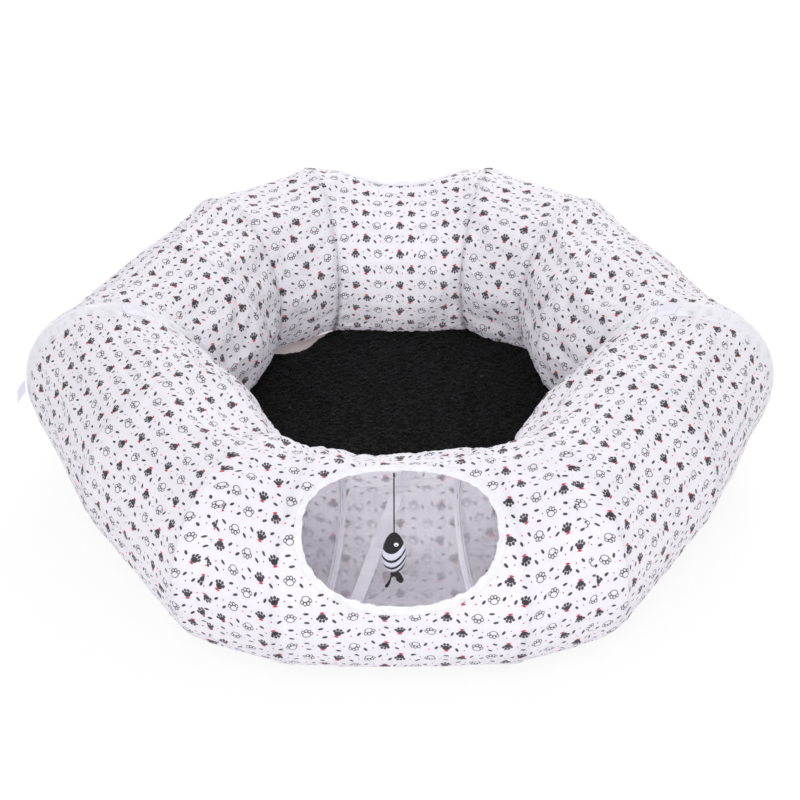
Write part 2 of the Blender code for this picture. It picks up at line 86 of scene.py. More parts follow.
tunnel_height = 0.220
joint_outer_radius = 0.449
skin_radius = 0.1107
joint_gap = 0.0006
hem_width = 0.020
entrance_width = 0.197
entrance_height = 0.143
entrance_squareness = 2.3
wire_centre_radius = 0.10817
rows_around = 144
cell_length = 0.0048


class Hoop:
    """An upright section of the tunnel at a plan angle."""

    def __init__(self, angle, outer_radius, rise=0.0):
        self.angle = radians(angle)
        self.tall = 1 + rise / tunnel_height
        self.wide = 1 - rise / tunnel_height
        self.middle = outer_radius - tunnel_height / 2 * self.wide
        self.middle_height = tunnel_height / 2 * self.tall

    def point(self, turn, radius):
        """A point of the section: turn 0 is outwards, a quarter turn is up."""
        reach = self.middle + radius * cos(turn) * self.wide
        height = self.middle_height + radius * sin(turn) * self.tall
        return Vector((reach * cos(self.angle), reach * sin(self.angle), height))


def cloth_freedom(turn):
    """How free the cloth is to move: 1 at the crown, 0 where the floor holds it."""
    return max(0.0, (sin(turn) + 0.6) / 1.6)


class Half:
    """One half of the ring, with positions counted from its right joint plane:
    0 at the plane, 1 to 8 at the hoops and 9 at the left joint plane."""

    def __init__(self, side, sign, hoops, seam_share, flare, crown_sag, tilt):
        self.side = side
        self.sign = sign
        self.flare = flare
        self.crown_sag = crown_sag
        self.tilt = radians(tilt)
        inner_radius = joint_outer_radius - tunnel_height
        edge = degrees(joint_gap / 2 / inner_radius)
        first = degrees((joint_gap / 2 + hem_width / 2) / joint_outer_radius)
        right = [(edge, joint_outer_radius), (first, joint_outer_radius), *hoops]
        left = [(180 - angle, *rest) for angle, *rest in reversed(right)]
        self.stations = [Hoop(sign * angle, *rest) for angle, *rest in right + left]
        self.last = 9
        self.right_seam = 3 + seam_share
        self.left_seam = self.last - self.right_seam
        self.slants = {}
        for name, low, high in (
            ("right", 0.0, self.right_seam),
            ("middle", self.right_seam, self.left_seam),
            ("left", self.left_seam, float(self.last)),
        ):
            start = self.point(low, 0)
            end = self.point(high, 0)
            middle = (atan2(start.y, start.x) + atan2(end.y, end.x)) / 2
            if name == "left" and sign < 0:
                middle = (atan2(start.y, start.x) - pi) / 2
            if name == "left" and sign > 0:
                middle = (atan2(start.y, start.x) + pi) / 2
            self.slants[name] = Vector((-sin(middle), cos(middle), 0))

    def length(self, span):
        first = self.stations[span].point(0, 0)
        return (self.stations[span + 1].point(0, 0) - first).length

    def past(self, position, distance):
        """The position a distance beyond another, or before it if negative."""
        span = int(position)
        if distance < 0 and position == span:
            span -= 1
        return position + distance / self.length(span)

    def sag(self, turn, span, share):
        """How far cloth falls in between two hoops, as a share of the radius."""
        if span in (0, self.last - 1):
            return 0.0
        free = cloth_freedom(turn)
        bow = 4 * share * (1 - share)
        crown = self.crown_sag if span == 4 else 0.040
        depth = 0.022 + (crown - 0.022) * max(0.0, sin(turn))
        return free * bow * depth

    def point(self, position, turn, inset=0.0):
        """A point of the cloth's outer face, or one inset from it."""
        span = min(int(position), self.last - 1)
        share = position - span
        radius = skin_radius * (1 - self.sag(turn, span, share)) - inset
        near = min(position, self.last - position)
        radius += self.flare * cloth_freedom(turn) * max(0.0, 1 - near)
        start = self.stations[span].point(turn, radius)
        place = start.lerp(self.stations[span + 1].point(turn, radius), share)
        place.z = max(place.z, 0.0002)
        return place

    def taut_point(self, position, turn):
        """A point of the cloth if it ran straight from hoop to hoop."""
        span = min(int(position), self.last - 1)
        start = self.stations[span].point(turn, skin_radius)
        end = self.stations[span + 1].point(turn, skin_radius)
        return start.lerp(end, position - span)

    def outward(self, position, turn):
        """Away from the tunnel's middle, square to its skin, near a position."""
        span = min(int(position), self.last - 1)
        angle = self.plan_angle(position)
        hoop = self.stations[span]
        wide = cos(turn) / hoop.wide
        tall = sin(turn) / hoop.tall
        return Vector((wide * cos(angle), wide * sin(angle), tall)).normalized()

    def plan_angle(self, position):
        span = min(int(position), self.last - 1)
        share = position - span
        start = self.stations[span].point(0, 0)
        place = start.lerp(self.stations[span + 1].point(0, 0), share)
        return atan2(place.y, place.x)

    def panel(self, position):
        if position <= self.right_seam:
            return "right"
        return "middle" if position <= self.left_seam else "left"

    def entrance_placing(self):
        """Where an entrance's outline lies: its +Z looks up and outwards."""
        hoop = self.stations[4]
        middle = Vector((0, hoop.point(0, 0).y, hoop.middle_height))
        looks = Vector((0, self.sign * cos(self.tilt), sin(self.tilt)))
        up = Vector((0, -self.sign * sin(self.tilt), cos(self.tilt)))
        placing = Matrix((up.cross(looks), up, looks)).transposed().to_4x4()
        return Matrix.Translation(middle) @ placing

    def bodies(self):
        """The frame's bodies that hold positions 1 to 8, the entrance between."""
        ribs = [f"{self.side}_rib_{number}" for number in range(2, 8)]
        return ["root", *ribs, f"{self.side}_end"]


front_half = Half(
    "front",
    -1,
    [(33.0, 0.408), (60.0, 0.447), (74.0, 0.446, 0.0)],
    0.30,
    0.0030,
    0.040,
    52.0,
)
back_half = Half(
    "back",
    1,
    [(27.0, 0.417), (50.0, 0.4655), (71.0, 0.4565, 0.016)],
    1.0,
    0.0,
    0.100,
    54.0,
)


# Sizes and colours that a user can change

class ClothSettings(bpy.types.PropertyGroup):
    """The printed cloth and its folds."""

    colour: bpy.props.FloatVectorProperty(
        name="Cloth colour",
        description="Ground of the printed cloth",
        subtype="COLOR",
        size=3,
        min=0,
        max=1,
        default=screen_colour(249, 247, 253),
    )
    reverse_colour: bpy.props.FloatVectorProperty(
        name="Reverse colour",
        description="Unprinted side of the cloth",
        subtype="COLOR",
        size=3,
        min=0,
        max=1,
        default=screen_colour(248, 246, 253),
    )
    ink_colour: bpy.props.FloatVectorProperty(
        name="Ink colour",
        description="Dark ink of the print",
        subtype="COLOR",
        size=3,
        min=0,
        max=1,
        default=screen_colour(40, 33, 38),
    )
    accent_colour: bpy.props.FloatVectorProperty(
        name="Accent colour",
        description="Small red marks of the print",
        subtype="COLOR",
        size=3,
        min=0,
        max=1,
        default=screen_colour(226, 62, 80),
    )
    wall: bpy.props.FloatProperty(
        name="Cloth thickness",
        description="How thick the cloth is",
        default=0.0006,
        min=0.0002,
        max=0.0011,
        precision=4,
        unit="LENGTH",
    )
    fold_depth: bpy.props.FloatProperty(
        name="Fold depth",
        description="How deep the cloth's folds are between two hoops",
        default=0.0042,
        min=0.0,
        max=0.008,
        precision=4,
        unit="LENGTH",
    )
    print_column: bpy.props.FloatProperty(
        name="Print column",
        description="Distance between two paws of a row",
        default=0.0300,
        min=0.015,
        max=0.08,
        unit="LENGTH",
    )
    print_row: bpy.props.FloatProperty(
        name="Print row",
        description="Distance between two rows of paws",
        default=0.0198,
        min=0.015,
        max=0.08,
        unit="LENGTH",
    )


class TrimSettings(bpy.types.PropertyGroup):
    """Bindings, hems and tapes."""

    binding_colour: bpy.props.FloatVectorProperty(
        name="Binding colour",
        description="White tape round the entrances and ends",
        subtype="COLOR",
        size=3,
        min=0,
        max=1,
        default=screen_colour(244, 244, 249),
    )
    binding_width: bpy.props.FloatProperty(
        name="Binding width",
        description="How far the binding reaches in from the cloth's cut edge",
        default=0.0048,
        min=0.003,
        max=0.012,
        precision=4,
        unit="LENGTH",
    )
    binding_overlap: bpy.props.FloatProperty(
        name="Binding overlap",
        description="How far the binding reaches out over the cloth",
        default=0.0026,
        min=0.001,
        max=0.006,
        precision=4,
        unit="LENGTH",
    )
    binding_thickness: bpy.props.FloatProperty(
        name="Binding thickness",
        description="How thick the folded binding is",
        default=0.0026,
        min=0.001,
        max=0.004,
        precision=4,
        unit="LENGTH",
    )
    edge_width: bpy.props.FloatProperty(
        name="Edge width",
        description="Width of the white edge at a joint",
        default=0.0060,
        min=0.003,
        max=0.012,
        precision=4,
        unit="LENGTH",
    )


class MatSettings(bpy.types.PropertyGroup):
    """The plush mat."""

    colour: bpy.props.FloatVectorProperty(
        name="Plush colour",
        description="Colour of the mat's pile",
        subtype="COLOR",
        size=3,
        min=0,
        max=1,
        default=screen_colour(12, 11, 13),
    )
    # painted shade: the backing is a white cloth, given a pinkish grey that stands in for its shade and a
    # reflected pink
    backing_colour_painted_shade: bpy.props.FloatVectorProperty(
        name="Backing colour",
        description="Colour of the cloth under the mat",
        subtype="COLOR",
        size=3,
        min=0,
        max=1,
        default=screen_colour(222, 210, 208),
    )
    radius: bpy.props.FloatProperty(
        name="Mat radius",
        description="How far the mat reaches where no cloth stops it",
        default=0.300,
        min=0.1,
        max=0.35,
        unit="LENGTH",
    )
    pile: bpy.props.FloatProperty(
        name="Pile depth",
        description="How deep the curls of the pile are",
        default=0.0040,
        min=0.0,
        max=0.004,
        precision=4,
        unit="LENGTH",
    )


class ToySettings(bpy.types.PropertyGroup):
    """The hanging fish."""

    felt_colour: bpy.props.FloatVectorProperty(
        name="Felt colour",
        description="Black felt of the head, bands and tail",
        subtype="COLOR",
        size=3,
        min=0,
        max=1,
        default=screen_colour(18, 16, 19),
    )
    stripe_colour: bpy.props.FloatVectorProperty(
        name="Stripe colour",
        description="Pale stripes of the body",
        subtype="COLOR",
        size=3,
        min=0,
        max=1,
        default=screen_colour(228, 228, 244),
    )
    string_length: bpy.props.FloatProperty(
        name="String length",
        description="From the knot to the fish",
        default=0.068,
        min=0.03,
        max=0.12,
        unit="LENGTH",
    )
    string_diameter: bpy.props.FloatProperty(
        name="String diameter",
        description="How thick the string is",
        default=0.0014,
        min=0.0005,
        max=0.003,
        precision=4,
        unit="LENGTH",
    )


class StageSettings(bpy.types.PropertyGroup):
    """Camera, lamps and floor."""

    distance: bpy.props.FloatProperty(
        name="Camera distance",
        description="From the camera to the point it looks at",
        default=1.73,
        min=0.5,
        max=5.0,
        unit="LENGTH",
    )
    elevation: bpy.props.FloatProperty(
        name="Camera elevation",
        description="How far above the horizon the camera stands",
        default=radians(32.5),
        min=0.0,
        max=radians(89.0),
        unit="ROTATION",
    )
    lens: bpy.props.FloatProperty(
        name="Lens",
        description="Focal length in millimetres on a 36 mm sensor",
        default=64.44,
        min=20.0,
        max=200.0,
    )


# Meshes: each new skin starts as a grid that is moved into place

def grid_piece(name, columns, rows, place, texture=None, weld=True):
    """A skin from a grid of cells. place and texture take the shares along the
    columns and rows, 0 to 1, and give a point and its place on the cloth."""
    mesh = bpy.data.meshes.new(name)
    build = bmesh.new()
    bmesh.ops.create_grid(build, x_segments=columns, y_segments=rows, size=0.5)
    across = build.verts.layers.float.new("across")
    around = build.verts.layers.float.new("around")
    uv = build.loops.layers.uv.new("cloth")
    for vert in build.verts:
        vert[across] = min(1.0, max(0.0, vert.co.x + 0.5))
        vert[around] = min(1.0, max(0.0, vert.co.y + 0.5))
    if texture:
        for face in build.faces:
            middle = sum(loop.vert[across] for loop in face.loops) / 4
            for loop in face.loops:
                shares = (loop.vert[across], loop.vert[around])
                loop[uv].uv = texture(*shares, middle)
    for vert in build.verts:
        vert.co = place(vert[across], vert[around])
    if weld:
        bmesh.ops.remove_doubles(build, verts=build.verts, dist=0.00001)
    build.to_mesh(mesh)
    build.free()
    return mesh


def add_object(name, mesh, *materials):
    obj = bpy.data.objects.new(name, mesh)
    bpy.context.scene.collection.objects.link(obj)
    for material in materials:
        mesh.materials.append(material)
    mesh.shade_smooth()
    return obj


def edit(obj):
    build = bmesh.new()
    build.from_mesh(obj.data)
    return build


def put_back(build, obj):
    build.to_mesh(obj.data)
    build.free()
    obj.data.shade_smooth()


def face_away(build, middle):
    """Turns faces so that they look away from a point's tunnel middle."""
    face = max(build.faces, key=lambda each: each.calc_center_median().z)
    build.normal_update()
    if face.normal.dot(face.calc_center_median() - middle) < 0:
        bmesh.ops.reverse_faces(build, faces=build.faces)


def thicken(obj, wall, offset=-1.0, inner_material=0):
    """Gives a skin its wall. Its cut edges stay crisp."""
    made = obj.modifiers.new("wall", "SOLIDIFY")
    made.thickness = wall
    made.offset = offset
    made.use_even_offset = True
    made.material_offset = inner_material
    made.material_offset_rim = 0
    graph = bpy.context.evaluated_depsgraph_get()
    walled = bpy.data.meshes.new_from_object(obj.evaluated_get(graph))
    obj.modifiers.remove(made)
    thin = obj.data
    obj.data = walled
    bpy.data.meshes.remove(thin)
    walled.shade_smooth()
    walled.set_sharp_from_angle(angle=radians(50))


def swell(value, low, high):
    """0 below low, 1 above high, and a smooth step between."""
    share = min(1.0, max(0.0, (value - low) / (high - low)))
    return share * share * (3 - 2 * share)


# The halves' cloth

def positions_of(half):
    """Positions of the cloth's grid lines, with lines at hoops and seams."""
    lines = [
        half.past(1, hem_width / 2 - 0.002),
        2,
        3,
        half.right_seam,
        4,
        4.5,
        5,
        half.left_seam,
        6,
        7,
        half.past(8, -hem_width / 2 + 0.002),
    ]
    lines = sorted(set(lines))
    positions = []
    for low, high in zip(lines, lines[1:]):
        length = half.length(int(low)) * (high - low)
        cells = max(2, ceil(length / cell_length))
        positions += [low + (high - low) * step / cells for step in range(cells)]
    return positions + [lines[-1]]


def turn_of(around):
    return -pi / 2 + 2 * pi * around


@lru_cache(maxsize=None)
def cloth_place(half, position, turn, side):
    """Where a point lies on the cloth as it was cut, in metres. Distances along
    the tunnel are measured on the cloth from a hoop of the straight run."""
    start = {"right": 2.0, "middle": 4.5, "left": 7.0}[side]
    place = half.taut_point(start, turn)
    run = 0.0
    way = 1 if position > start else -1
    at = start
    while at != position:
        hoop = floor(at) + 1 if way > 0 else ceil(at) - 1
        reached = min(hoop, position) if way > 0 else max(hoop, position)
        run += way * (half.taut_point(reached, turn) - half.taut_point(at, turn)).length
        at = reached
    return (place.dot(half.slants[side]) + half.sign * run, turn * skin_radius)


def oval_level(placing_inverse, point):
    """Under 1 inside the entrance's outline and over 1 outside it."""
    local = placing_inverse @ point
    if local.z < 0:
        return 9.0
    across = (abs(local.x) / (entrance_width / 2)) ** entrance_squareness
    up = (abs(local.y) / (entrance_height / 2)) ** entrance_squareness
    return (across + up) ** (1 / entrance_squareness)


mat_side_turn = radians(238)


def fold_height(half, position, turn, point, depth):
    """How far folds raise or sink the cloth at a point."""
    span = min(int(position), half.last - 1)
    share = position - span
    slack = sin(pi * min(1.0, max(0.0, share))) ** 0.7
    if span in (0, half.last - 1):
        slack = 0.0
    free = swell(sin(turn), -0.93, -0.55)
    seed = Vector((3.1 * half.sign, 7.7, 1.3))
    broad = noise.noise(point * 11 + seed)
    angle = half.plan_angle(position)
    inner = swell(-cos(turn), -0.35, 0.75)
    run = angle * 0.34
    pleat = noise.noise(Vector((run * 46, turn * 1.5, 4.0 * half.sign)))
    pleat += 0.5 * noise.noise(Vector((run * 90, turn * 2.6, 9.0 * half.sign)))
    drawn = noise.noise(Vector((run * 9, turn * 7.5, 2.0 - half.sign)))
    sharp = 1 - 2 * abs(noise.noise(Vector((run * 16 + turn * 3, turn * 5 - run * 6, 5.5))))
    crumple = 1 - 2 * abs(noise.noise(point * 46 + seed))
    low = exp(-(((turn - mat_side_turn) / 0.5) ** 2))
    height = broad * 1.1 * slack + low * slack * 2.4
    height += pleat * inner * (0.25 + 0.75 * slack) * 0.75
    height += drawn * (0.30 + 0.70 * slack) * 0.75
    height += sharp * slack * 0.42
    height += crumple * (0.3 + 0.7 * slack) * 0.16
    return height * depth * free


def seam_height(half, position, turn):
    """A seam's pinch and the gathers beside it."""
    height = 0.0
    for seam in (half.right_seam, half.left_seam):
        span = min(int(seam), half.last - 1)
        away = abs(position - seam) * half.length(span)
        if away < 0.03:
            gather = noise.noise(Vector((turn * 26, seam * 5, half.sign)))
            height -= 0.0006 * exp(-((away / 0.0034) ** 2))
            height += 0.0012 * gather * exp(-((away / 0.014) ** 2))
    return height * swell(sin(turn), -0.93, -0.6)


def cloth_tube(half, settings):
    """The whole cloth of a half, its entrance cut, as one mesh to be split."""
    positions = positions_of(half)
    count = len(positions) - 1

    def at(across):
        return positions[min(count, round(across * count))]

    def place(across, around):
        return half.point(at(across), turn_of(around))

    def texture(across, around, middle):
        side = half.panel(positions[int(middle * count)] + 0.001)
        return cloth_place(half, at(across), turn_of(around), side)

    mesh = grid_piece(f"{half.side}_cloth", count, rows_around, place, texture)
    obj = add_object(f"{half.side}_cloth", mesh)
    build = edit(obj)
    across = build.verts.layers.float["across"]
    along = build.verts.layers.float.new("along")
    for vert in build.verts:
        vert[along] = at(vert[across])
    top = half.point(4, 0)
    face_away(build, Vector((0, top.y, tunnel_height / 2)))
    smooth_skin = BVHTree.FromBMesh(build)
    cut_entrance(half, build, smooth_skin)
    put_back(build, obj)
    return obj, smooth_skin


def cut_entrance(half, build, skin):
    """Opens the entrance and lays its rim on the oval outline."""
    placing = half.entrance_placing()
    inverse = placing.inverted()
    inside = [
        face
        for face in build.faces
        if oval_level(inverse, face.calc_center_median()) < 1
    ]
    bmesh.ops.delete(build, geom=inside, context="FACES")
    rim = [vert for vert in build.verts if vert.is_boundary]
    rim = [vert for vert in rim if oval_level(inverse, vert.co) < 1.3]
    looks = placing.to_3x3() @ Vector((0, 0, 1))
    for vert in rim:
        local = inverse @ vert.co
        level = oval_level(inverse, vert.co)
        start = placing @ Vector((local.x / level, local.y / level, 0.0))
        found = skin.ray_cast(start, looks)[0]
        if found:
            vert.co = found
    near = {
        other
        for vert in rim
        for edge in vert.link_edges
        for other in edge.verts
        if other not in rim
    }
    for _ in range(3):
        bmesh.ops.smooth_vert(
            build,
            verts=list(near),
            factor=0.5,
            use_axis_x=True,
            use_axis_y=True,
            use_axis_z=True,
        )


def rim_hold(half, inverse, point):
    """0 on the entrance's rim, rising to 1 some way off it."""
    level = oval_level(inverse, point)
    return swell(level, 1.0, 1.35)


def settle_cloth(half, obj, settings):
    """Lets the cloth hang between its hoops, held at hoops, ends and rims."""
    inverse = half.entrance_placing().inverted()
    mesh = obj.data
    positions = [item.value for item in mesh.attributes["along"].data]
    rest = [vert.co.copy() for vert in mesh.vertices]
    held = obj.vertex_groups.new(name="held")
    spare = obj.vertex_groups.new(name="spare")
    ends = (min(positions), max(positions))
    for index, point in enumerate(rest):
        position = positions[index]
        at_hoop = abs(position - round(position)) < 0.0001 or position in ends
        at_rim = oval_level(inverse, point) < 1.02
        on_floor = point.z < 0.026
        if at_hoop or at_rim or on_floor:
            held.add([index], 1.0, "REPLACE")
        reach = hypot(point.x, point.y)
        angle = half.plan_angle(position)
        middle = half.stations[min(int(position), 8)].middle
        inner = swell(middle - reach, -0.04, 0.09)
        spare.add([index], max(0.02, 1 - inner), "REPLACE")
    cloth = obj.modifiers.new("cloth", "CLOTH")
    cloth.settings.quality = 4
    cloth.settings.mass = 0.02
    cloth.settings.tension_stiffness = 12
    cloth.settings.compression_stiffness = 12
    cloth.settings.shear_stiffness = 4
    cloth.settings.bending_stiffness = 0.02
    cloth.settings.air_damping = 3
    cloth.settings.vertex_group_mass = "held"
    cloth.settings.shrink_min = -0.045
    cloth.settings.shrink_max = -0.004
    cloth.settings.vertex_group_shrink = "spare"
    cloth.settings.effector_weights.gravity = 0.25
    cloth.collision_settings.use_collision = False
    cloth.point_cache.frame_start = 1
    cloth.point_cache.frame_end = 24
    for number in range(1, 25):
        bpy.context.scene.frame_set(number)
    graph = bpy.context.evaluated_depsgraph_get()
    moved = obj.evaluated_get(graph).to_mesh()
    places = [vert.co.copy() for vert in moved.vertices]
    obj.evaluated_get(graph).to_mesh_clear()
    obj.modifiers.remove(cloth)
    obj.vertex_groups.clear()
    bpy.context.scene.frame_set(1)
    cap = 0.007
    arounds = [item.value for item in mesh.attributes["around"].data]
    for index, vert in enumerate(mesh.vertices):
        start = rest[index]
        step = places[index] - start
        out = half.outward(positions[index], turn_of(arounds[index]))
        off = out * step.dot(out)
        step = off + (step - off) * 0.2
        if step.length > cap:
            step = step * (cap / step.length)
        place = start + step
        place.z = max(place.z, 0.0002)
        vert.co = place


def fold_cloth(half, obj, settings, share):
    """Adds the folds, the seams' pinch and the gathers beside the seams."""
    inverse = half.entrance_placing().inverted()
    mesh = obj.data
    positions = [item.value for item in mesh.attributes["along"].data]
    arounds = [item.value for item in mesh.attributes["around"].data]
    for index, vert in enumerate(mesh.vertices):
        position = positions[index]
        turn = turn_of(arounds[index])
        hold = rim_hold(half, inverse, vert.co)
        height = fold_height(half, position, turn, vert.co, settings.fold_depth) * share
        height += seam_height(half, position, turn)
        step = half.outward(position, turn) * height * hold
        if step.z < 0:
            step *= swell(vert.co.z, 0.0, 0.02)
        vert.co = vert.co + step
        vert.co.z = max(vert.co.z, 0.0002)


def weights_by_angle(half, obj, low, high):
    """The blend of a piece follows each point's plan angle, so that it meets
    its hoops exactly."""
    start = half.plan_angle(low)
    end = half.plan_angle(high)
    values = []
    for vert in obj.data.vertices:
        angle = atan2(vert.co.y, vert.co.x)
        if half.sign < 0 and angle > pi / 2:
            angle -= 2 * pi
        if half.sign > 0 and angle < -pi / 2:
            angle += 2 * pi
        values.append(min(1.0, max(0.0, (angle - start) / (end - start))))
    obj.data.attributes["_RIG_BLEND"].data.foreach_set("value", values)


def bend_between(half, obj, first, second, low, high):
    start = half.point(low, 0)
    end = half.point(high, 0)
    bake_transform(obj, first, second, start, end)
    weights_by_angle(half, obj, low, high)


def cloth_runs(half):
    """Each piece of cloth: its name, the positions that it runs between, the
    positions that its blend runs between, its two bodies and its CAD panel."""
    side = half.side
    first = half.past(1, hem_width / 2 - 0.002)
    last = half.past(8, -hem_width / 2 + 0.002)
    rib = [f"{side}_rib_{number}" for number in range(2, 8)]
    middle = f"{side}_entrance"
    end = f"{side}_end"
    right = f"{side}_right_panel"
    left = f"{side}_left_panel"
    panel = f"{side}_panel"
    runs = [
        ("right_end_cloth", first, 2, first, 2, "root", rib[0], right),
        ("right_side_cloth", 2, 3, 2, 3, rib[0], rib[1], right),
    ]
    if half.right_seam < 4:
        seam = half.right_seam
        runs += [
            ("right_corner_cloth", 3, seam, 3, 4, rib[1], rib[2], right),
            ("right_shoulder_cloth", seam, 4, 3, 4, rib[1], rib[2], panel),
        ]
    else:
        runs.append(("right_shoulder_cloth", 3, 4, 3, 4, rib[1], rib[2], right))
    runs += [
        ("entrance_right_cloth", 4, 4.5, 4, 4.5, rib[2], middle, panel),
        ("entrance_left_cloth", 4.5, 5, 4.5, 5, middle, rib[3], panel),
    ]
    if half.left_seam > 5:
        seam = half.left_seam
        runs += [
            ("left_shoulder_cloth", 5, seam, 5, 6, rib[3], rib[4], panel),
            ("left_corner_cloth", seam, 6, 5, 6, rib[3], rib[4], left),
        ]
    else:
        runs.append(("left_shoulder_cloth", 5, 6, 5, 6, rib[3], rib[4], left))
    runs += [
        ("left_side_cloth", 6, 7, 6, 7, rib[4], rib[5], left),
        ("left_end_cloth", 7, last, 7, last, rib[5], end, left),
    ]
    return runs


def split_cloth(half, tube, settings, outside, inside):
    """The pieces of a half's cloth, each riding between two bodies."""
    pieces = []
    for name, low, high, start, end, first, second, panel in cloth_runs(half):
        obj = add_object(f"{half.side}_{name}", tube.data.copy(), outside, inside)
        build = edit(obj)
        along = build.verts.layers.float["along"]
        gone = []
        for face in build.faces:
            place = sum(vert[along] for vert in face.verts) / len(face.verts)
            if place < low or place > high:
                gone.append(face)
        bmesh.ops.delete(build, geom=gone, context="FACES")
        put_back(build, obj)
        thicken(obj, settings.wall, -1.0, 1)
        bend_between(half, obj, first, second, start, end)
        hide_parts(panel)
        [f"{half.side}_hoop_{number}" for number in hoops_near(low, high)]
        pieces.append(obj)
    return pieces


def hoops_near(low, high):
    return sorted({max(1, min(8, round(low))), max(1, min(8, round(high)))})


# Trim: bindings, hems, casings and tapes

def entrance_loop(half, skin, settings):
    """The folded binding of an entrance, laid round its cut on the skin."""
    placing = half.entrance_placing()
    looks = placing.to_3x3() @ Vector((0, 0, 1))

    def place(across, around):
        loop = 2 * pi * across
        turn = 2 * pi * around
        pucker = noise.noise(Vector((cos(turn) * 9, sin(turn) * 9, half.sign * 4.0)))
        fine = noise.noise(Vector((cos(turn) * 34, sin(turn) * 34, half.sign * 7.0)))
        width = settings.binding_width + settings.binding_overlap
        width += pucker * 0.0017 + fine * 0.0008
        inset = width * (0.5 - 0.5 * cos(loop)) - settings.binding_overlap
        wide = abs(cos(turn)) ** (2 / entrance_squareness)
        tall = abs(sin(turn)) ** (2 / entrance_squareness)
        start = Vector(
            (
                (entrance_width / 2 - inset) * wide * (1 if cos(turn) >= 0 else -1),
                (entrance_height / 2 - inset) * tall * (1 if sin(turn) >= 0 else -1),
                0,
            )
        )
        found, normal, _, _ = skin.ray_cast(placing @ start, looks)
        rise = sin(loop)
        rise = (1 if rise >= 0 else -1) * abs(rise) ** 0.55
        thick = settings.binding_thickness / 2 * (1 + 0.22 * fine + 0.15 * pucker)
        lift = 0.0004 + 0.0005 * pucker
        stitch = 0.00035 * exp(-(((inset - 0.0012) / 0.0007) ** 2)) if rise > 0 else 0
        return found + normal * (rise * thick + lift - stitch)

    def texture(across, around, middle):
        return (around * 0.53, across * 0.024)

    name = f"{half.side}_entrance_binding_cloth"
    return grid_piece(name, 20, 480, place, texture)


def middle_spans(half):
    """The spans right and left of an entrance's middle: their name, the side of
    the ring that they lie on, their positions and their two bodies."""
    side = half.side
    return (
        ("right", 1, 4, 4.5, f"{side}_rib_4", f"{side}_entrance"),
        ("left", -1, 4.5, 5, f"{side}_entrance", f"{side}_rib_5"),
    )


def keep_side(build, sign):
    """Deletes the faces that lie on the other side of the ring's middle."""
    away = [face for face in build.faces if face.calc_center_median().x * sign < 0]
    bmesh.ops.delete(build, geom=away, context="FACES")


def entrance_bindings(half, skin, settings, finish):
    """Both halves of an entrance's binding, right and left of its middle."""
    mesh = entrance_loop(half, skin, settings)
    side = half.side
    for name, sign, low, high, first, second in middle_spans(half):
        obj = add_object(f"{side}_binding_{name}", mesh.copy(), finish)
        build = edit(obj)
        keep_side(build, sign)
        rims = [edge for edge in build.edges if edge.is_boundary]
        bmesh.ops.holes_fill(build, edges=rims, sides=0)
        bmesh.ops.recalc_face_normals(build, faces=build.faces)
        put_back(build, obj)
        obj.data.set_sharp_from_angle(angle=radians(50))
        bend_between(half, obj, first, second, low, high)
        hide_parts(f"{side}_entrance_binding")


def end_position(half, right, distance):
    """The position at a distance in from a joint plane."""
    past_hoop = distance - hem_width / 2
    if past_hoop < 0:
        position = distance / (hem_width / 2)
    else:
        position = half.past(1, past_hoop)
    return position if right else half.last - position


def end_pieces(half, right, reach_in, settings, hem_finish):
    """The hem band of an end and the white edge sewn round it. The front half's
    band is the cloth turned over, so it shows its reverse."""
    side = "right" if right else "left"
    body = "root" if right else f"{half.side}_end"
    stem = f"{half.side}_{side}"

    def band_place(across, around):
        turn = turn_of(around)
        distance = 0.0035 + (reach_in - 0.0035) * across
        position = end_position(half, right, distance)
        puff = noise.noise(Vector((turn * 9, across * 2.2, half.sign * 3.0)))
        fine = noise.noise(Vector((turn * 30, across * 5.0, half.sign * 8.0)))
        stitch = exp(-(((distance - reach_in + 0.0022) / 0.0008) ** 2))
        proud = 0.0008 + 0.0006 * puff + 0.0004 * fine - 0.0006 * stitch
        point = half.point(position, turn, -proud * cloth_freedom(turn))
        return point

    def texture(across, around, middle):
        distance = 0.0035 + (reach_in - 0.0035) * across
        position = end_position(half, right, distance)
        return cloth_place(half, position, turn_of(around), side)

    mesh = grid_piece(f"{stem}_hem_band", 14, 288, band_place, texture)
    band = add_object(f"{stem}_hem_band", mesh, hem_finish)
    build = edit(band)
    middle = half.point(1 if right else 8, 0)
    face_away(build, Vector((middle.x * 0.75, 0, tunnel_height / 2)))
    put_back(build, band)
    thicken(band, 0.0016)
    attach(band, body)
    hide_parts(f"{half.side}_{side}_hem")

    def edge_place(across, around):
        loop = 2 * pi * across
        turn = turn_of(around)
        fine = noise.noise(Vector((turn * 22, half.sign * 5.0, loop)))
        ripple = noise.noise(Vector((turn * 6, half.sign * 11.0, 2.0)))
        reach = settings.edge_width / 2
        distance = 0.0002 + reach + reach * cos(loop)
        if distance > reach:
            distance += 0.0010 * ripple
        rise = sin(loop)
        rise = (1 if rise >= 0 else -1) * abs(rise) ** 0.6
        thick = 0.0016 * (1 + 0.2 * fine)
        free = cloth_freedom(turn)
        inset = 0.0008 - rise * thick - (0.0005 + 0.0006 * ripple) * free
        point = half.point(end_position(half, right, distance), turn, inset)
        return point

    def edge_texture(across, around, middle):
        return (around * 0.70, across * 0.018)

    mesh = grid_piece(f"{stem}_edge", 14, 288, edge_place, edge_texture)
    edge = add_object(f"{stem}_edge", mesh, binding_finish())
    build = edit(edge)
    bmesh.ops.recalc_face_normals(build, faces=build.faces)
    put_back(build, edge)
    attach(edge, body)
    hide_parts(f"{half.side}_{side}_hem")


